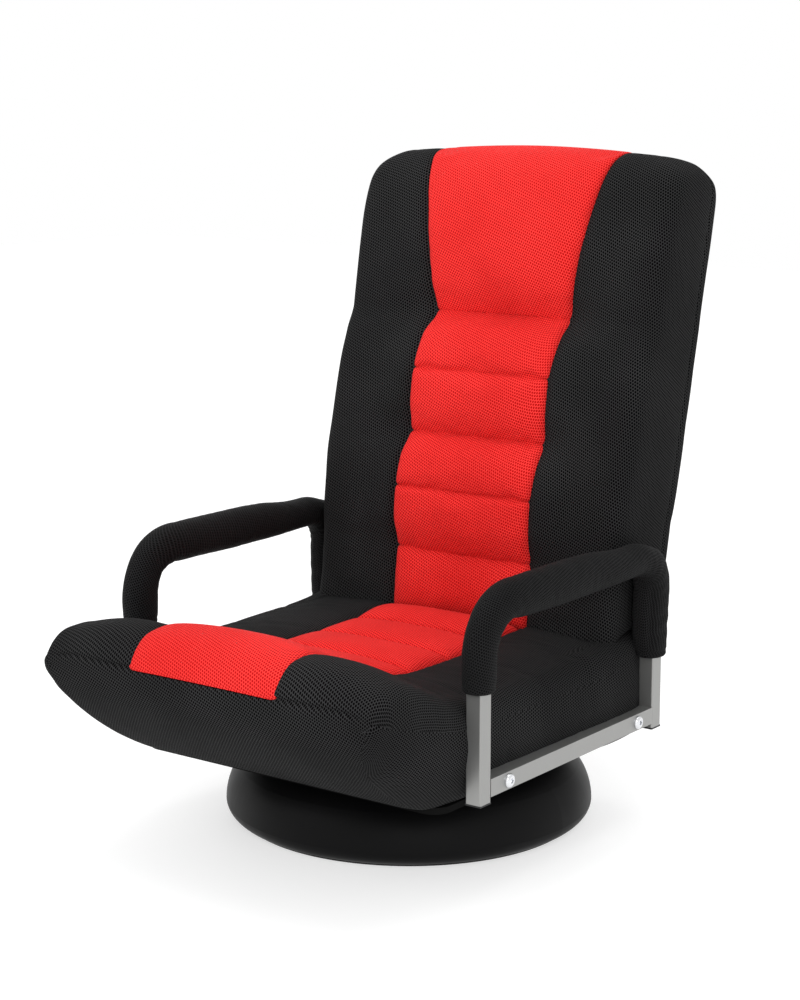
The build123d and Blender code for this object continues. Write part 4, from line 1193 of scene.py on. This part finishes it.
@dataclass
class Back:
    """Soft pieces of the back."""

    cover: BackCover
    seams: tuple[Seam, ...] = (
        Seam(9.0, 4.5, 2.2), Seam(11.0, 5.0, 1.8), Seam(12.85, 6.0, 2.8), Seam(14.94, 5.0, 1.8))
    panel_width: Profile = Profile(((0, 102), (30, 102)))
    panel_ends: Pair = (6.1, 17.015)
    head_rise: Profile = Profile(((17, 1), (22, 0.9), (24.5, 0.1), (30, 0)))
    head_ends: Pair = (16.985, 28.4)
    end_spread: float = 3.6

    def build(self) -> list[bpy.types.Object]:
        """Build and dress the cover, the channelled panel and the head panel.

        Returns:
            The pieces.
        """
        cover = self.cover.build()
        panel = QuiltedPanel(
            "back_red_panel", self.cover, *self.panel_ends, self.panel_width, self.seams,
            end_tucks=(8.0, 5.0), end_spread=self.end_spread).build()
        head = QuiltedPanel(
            "head_red_panel", self.cover, *self.head_ends, self.cover.panel_edges, (), crown=4.0, swell=4.0,
            end_tucks=(5.0, 8.0), end_spread=self.end_spread, rise=self.head_rise).build()
        Filling(pressure=2.5, slack=0.002, cap=3.0).fill(cover)
        for piece in (panel, head):
            Filling(pressure=2.5, slack=0.006, cap=3.0).fill(piece)
        dress(cover, BLACK_MESH, Slot.BLACK_MESH, Body.BACK, ("back_pad", "back_rear_panel"))
        dress(panel, RED_MESH, Slot.RED_MESH, Body.BACK, ("back_centre_panel",))
        dress(head, RED_MESH, Slot.RED_MESH, Body.BACK, ("head_panel",))
        return [cover, panel, head]


# Armrests


INNER_REACH: dict[Side, Profile] = {
    Side.LEFT: Profile((
        (0, 18), (31, 18), (55, 14.5), (80, 13), (105, 15), (135, 20), (190, 21), (290, 21), (370, 20),
        (415, 19), (450, 23), (480, 26), (520, 24), (538, 21))),
    Side.RIGHT: Profile((
        (0, 25), (31, 26), (52, 23), (80, 17.5), (108, 20), (140, 22), (290, 22), (370, 20), (415, 19),
        (450, 23), (480, 26), (520, 24), (538, 21))),
}


@dataclass(frozen=True)
class Folds:
    """Folds across a sleeve: where their middle lies, how far they reach, their pitch and their height."""

    middle: float
    reach: float
    pitch: float
    height: float

    def __call__(self, run: Array, sway: Array) -> Array:
        """Heights at lengths from the front end, swayed round the sleeve."""
        near = np.exp(-((run - self.middle) / self.reach) ** 2)
        return self.height * (near * np.sin(2 * math.pi * (run + sway) / self.pitch))


@dataclass
class ArmSleeve:
    """Padded sleeve drawn over one armrest, wrinkled in its bends."""

    side: Side
    across: float = 246.0
    front_y: float = -209.0
    rear_y: float = 152.0
    front_end: float = 235.0
    rear_end: float = 199.0
    arm_z: float = 323.0
    front_bend: float = 62.0
    rear_bend: float = 46.0
    outer: Profile = Profile((
        (0, 17.5), (40, 18.5), (95, 26), (130, 26), (190, 26), (290, 24), (370, 18), (400, 18), (430, 26),
        (470, 22), (520, 18.5), (538, 18)))
    wide: Profile = Profile(((0, 18), (60, 18.5), (140, 20), (300, 20), (380, 19), (440, 19.5), (538, 18.5)))
    drawn_length: float = 538.0
    front_folds: Folds = Folds(85, 34, 17, 0.5)
    rear_folds: Folds = Folds(425, 30, 14, 1.2)
    low_folds: Folds = Folds(490, 30, 21, 0.5)
    soft_height: float = 0.35
    crease_depth: float = 3.0
    crease_angle: float = 2.5
    crease_width: float = 0.16
    crease_rise: Pair = (415, 455)
    fold_rise: Pair = (4, 25)
    squareness: float = 2.3
    post_room: float = 12.5
    round_steps: int = 40
    step: float = 5.0
    hem: float = 9.0
    hem_rows: tuple[float, ...] = (1.2, 2.6, 6.0, 7.6)
    hem_seam: float = 7.0
    hem_groove: float = 1.4
    hem_width: float = 1.2
    end_turn: float = 2.2
    end_reach: float = 3.5
    hold: float = 0.25

    def line(self, run: Array) -> tuple[Array, Array]:
        """Follow the middle of the tube.

        Args:
            run: Lengths from the front end.

        Returns:
            Points and outward directions in (y, z).
        """
        rise = self.arm_z - self.front_bend - self.front_end
        first = self.front_bend * math.pi / 2
        along = self.rear_y - self.front_y - self.front_bend - self.rear_bend
        second = self.rear_bend * math.pi / 2
        marks = np.cumsum([rise, first, along, second])
        turn = np.clip((run - marks[0]) / self.front_bend, 0, math.pi / 2)
        drop = np.clip((run - marks[2]) / self.rear_bend, 0, math.pi / 2)
        angle = turn + drop
        y = (self.front_y + self.front_bend * (1 - np.cos(turn)) + np.clip(run - marks[1], 0, along)
             + self.rear_bend * np.sin(drop))
        z = (self.front_end + np.clip(run, 0, rise) + self.front_bend * np.sin(turn)
             - self.rear_bend * (1 - np.cos(drop)) - np.clip(run - marks[3], 0, None))
        return np.stack([y, z], axis=-1), np.stack([-np.cos(angle), np.sin(angle)], axis=-1)

    @property
    def length(self) -> float:
        """Length of the sleeve along the tube."""
        straight = self.arm_z - self.front_bend - self.front_end + self.arm_z - self.rear_bend - self.rear_end
        along = self.rear_y - self.front_y - self.front_bend - self.rear_bend
        return straight + along + (self.front_bend + self.rear_bend) * math.pi / 2

    def wrinkles(self, run: Array, angle: Array) -> Array:
        """Height of the folds: across the inside of both bends, and long soft ones elsewhere.

        Args:
            run: Lengths from the front end.
            angle: Angles round the sleeve, 0 at the outside of the bends.

        Returns:
            Heights in millimetres.
        """
        sign = self.side.value
        inside = 0.5 - 0.5 * np.cos(angle)
        sway = 5 * np.sin(2 * angle + 0.7 * sign)
        bends = self.front_folds(run, sway) * inside + self.rear_folds(run, sway) * inside
        low = self.low_folds(run, 9 * np.sin(angle + sign))
        soft = np.sin(run / 31 + 2.1 * np.sin(angle + 0.4 * sign))
        soft = soft + 0.6 * np.sin(run / 17 - 1.7 * np.cos(angle))
        crease = np.exp(-((angle - self.crease_angle) / self.crease_width) ** 2)
        crease = crease * ease(*self.crease_rise, run)
        return bends + low + self.soft_height * soft - self.crease_depth * crease

    def build(self) -> bpy.types.Object:
        """Build the sleeve as a closed tube with turned-in hems.

        Returns:
            The piece.
        """
        length = self.length
        run = np.linspace(0, length, int(length / self.step) + 1)
        hem = np.array(self.hem_rows)
        between = run[(run > self.hem) & (run < length - self.hem)]
        run = np.unique(np.concatenate([run[[0, -1]], between, hem, length - hem]))[:, None]
        angle = np.linspace(0, 2 * math.pi, self.round_steps + 1)[None, :]
        scale = length / self.drawn_length
        outward = np.cos(angle)
        reach = np.where(outward > 0, self.outer(run / scale), INNER_REACH[self.side](run / scale))
        wide = self.wide(run / scale)
        from_end = np.minimum(run, length - run)
        fold = self.wrinkles(run, angle) * ease(*self.fold_rise, from_end)
        fold = fold - self.hem_groove * np.exp(-((from_end - self.hem_seam) / self.hem_width) ** 2)
        fold = fold - self.end_turn * (1 - ease(0, self.end_reach, from_end))
        middle, out = self.line(np.broadcast_to(run, (len(run), angle.shape[1])))
        power = self.squareness
        square = (np.abs(np.cos(angle)) ** power + np.abs(np.sin(angle)) ** power) ** (-1 / power)
        flat = middle + out * (outward * square * reach + fold * outward)[..., None]
        x = self.across + np.sin(angle) * (square * wide + fold)
        tube = np.stack([x * self.side.value, flat[..., 0], flat[..., 1]], axis=-1)
        sheets = [Sheet.of(tube, self.hold)]
        for row, end in ((0, 0.0), (-1, length)):
            core, way = self.line(np.full((1, angle.shape[1]), end))
            inner = core + way * (self.post_room * outward)[..., None]
            ring_x = self.across + np.sin(angle) * self.post_room
            ring = np.stack([ring_x * self.side.value, inner[..., 0], inner[..., 1]], axis=-1)
            hub = np.broadcast_to(ring.mean(axis=1, keepdims=True), ring.shape)
            steps = [tube[row][None], 0.5 * (tube[row][None] + ring), ring, hub]
            sheets.append(Sheet.of(np.concatenate(steps), 1.0))
        sheets[0].held[[0, 1, -2, -1]] = 1.0
        return mesh_of(f"{self.side.word}_arm_sleeve", sheets)

    def make(self) -> bpy.types.Object:
        """Build, fill and dress the sleeve.

        Returns:
            The piece.
        """
        piece = self.build()
        Filling(pressure=2.0, slack=0.006, bending=0.4, cap=2.5).fill(piece)
        dress(piece, SLEEVE_MESH, Slot.SLEEVE_MESH, Body.SEAT, (f"{self.side.word}_armrest_sleeve",))
        return piece


# Dressing and the studio


MADE: dict[str, bpy.types.Material] = {}


def material_of(finish: MeshCloth | Moulded | Metal | Plain) -> bpy.types.Material:
    """A finish's material, made once."""
    if finish.name not in MADE:
        MADE[finish.name] = finish.build()
    return MADE[finish.name]


def dress(piece: bpy.types.Object, finish: MeshCloth, slot: Slot, body: Body, nodes: Sequence[str]) -> None:
    """Finish a soft piece and set it on its body in place of its solids.

    Args:
        piece: The piece.
        finish: Its finish.
        slot: The record's material slot; not used.
        body: The body that it rides on.
        nodes: The nodes that it stands for.
    """
    rounded = piece.modifiers.new("rounded", "SUBSURF")
    rounded.levels = rounded.render_levels = 1
    piece.data.materials.append(material_of(finish))
    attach(piece, body.value)
    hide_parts(*nodes)
    LOG.info("piece %s stands for %s", piece.name, ", ".join(nodes))


@dataclass
class Hardware:
    """Rigid pieces, which keep their solids and get their finishes here."""

    nodes: dict[str, bpy.types.Object]

    def dress(self) -> None:
        """Give every node that shows its finish."""
        finish_of = {node: slot for slot, nodes in CAD_SLOTS.items() for node in nodes}
        for name, node in sorted(self.nodes.items()):
            finish = CAD_FINISHES[finish_of.get(name, PLAIN_STEEL)]
            node.data.materials.clear()
            node.data.materials.append(material_of(finish))
            LOG.info("node %s in %s", name, finish.name)


@dataclass
class Studio:
    """Floor, soft lights and the camera."""

    place: tuple[float, float, float] = (1.535, -2.085, 0.881)
    azimuth: float = 36.6
    pitch: float = 10.9
    lens: float = 79.78
    sensor: float = 36.0
    aim: tuple[float, float, float] = (0.0, 0.0, 0.4)
    floor_size: float = 14.0

    def camera(self) -> None:
        """Set the camera at the photograph's view."""
        a, p = math.radians(self.azimuth), math.radians(self.pitch)
        ahead = Vector((-math.sin(a) * math.cos(p), math.cos(a) * math.cos(p), -math.sin(p)))
        data = bpy.data.cameras.new("camera")
        data.lens, data.sensor_width = self.lens, self.sensor
        made = added("camera", data)
        made.location = self.place
        made.rotation_euler = ahead.to_track_quat("-Z", "Y").to_euler()
        bpy.context.scene.camera = made

    def floor(self) -> None:
        """Lay a plain pale floor."""
        half = self.floor_size / 2
        mesh = bpy.data.meshes.new("floor")
        corners = [(-half, -half, 0), (half, -half, 0), (half, half, 0), (-half, half, 0)]
        mesh.from_pydata(corners, [], [(0, 1, 2, 3)])
        mesh.materials.append(material_of(Plain("floor_paint", (0.5, 0.5, 0.5))))
        made = added("floor", mesh)

    def lamp(self, name: str, place: Sequence[float], size: float, power: float) -> None:
        """Hang a square soft lamp that points at the chair.

        Args:
            name: Name of the lamp.
            place: Where it hangs, in metres.
            size: Length of its side, in metres.
            power: Power in watts.
        """
        data = bpy.data.lights.new(name, "AREA")
        data.size, data.energy = size, power
        made = added(name, data)
        made.location = place
        made.rotation_euler = (Vector(self.aim) - Vector(place)).to_track_quat("-Z", "Y").to_euler()

    def lights(self) -> None:
        """Light the chair softly from the front, the right and above, in a white room."""
        self.lamp("key_lamp", (-1.6, -3.0, 2.6), 1.8, 30)
        self.lamp("right_lamp", (2.6, -2.4, 1.9), 1.2, 30)
        self.lamp("top_lamp", (0.0, 0.3, 3.2), 2.2, 30)
        world = bpy.data.worlds.new("white_room")
        world.use_nodes = True
        room = next(n for n in world.node_tree.nodes if n.type == "BACKGROUND")
        room.inputs["Color"].default_value = (1, 1, 1, 1)
        room.inputs["Strength"].default_value = 1.0
        bpy.context.scene.world = world
        bpy.context.scene.view_settings.view_transform = "Standard"

    def build(self) -> None:
        """Set up the studio."""
        self.camera()
        self.floor()
        self.lights()


def main() -> None:
    """Build the chair's looks in order."""
    logging.basicConfig(level=logging.INFO, format="%(message)s")
    Studio().build()
    Hardware(frame["nodes"]).dress()
    pieces = [*Seat(SeatCover()).build(), *Back(BackCover()).build()]
    pieces += [ArmSleeve(side).make() for side in Side]
    for piece in pieces:
        LOG.info("built %s with %d points", piece.name, len(piece.data.vertices))


if __name__ == "__main__":
    main()
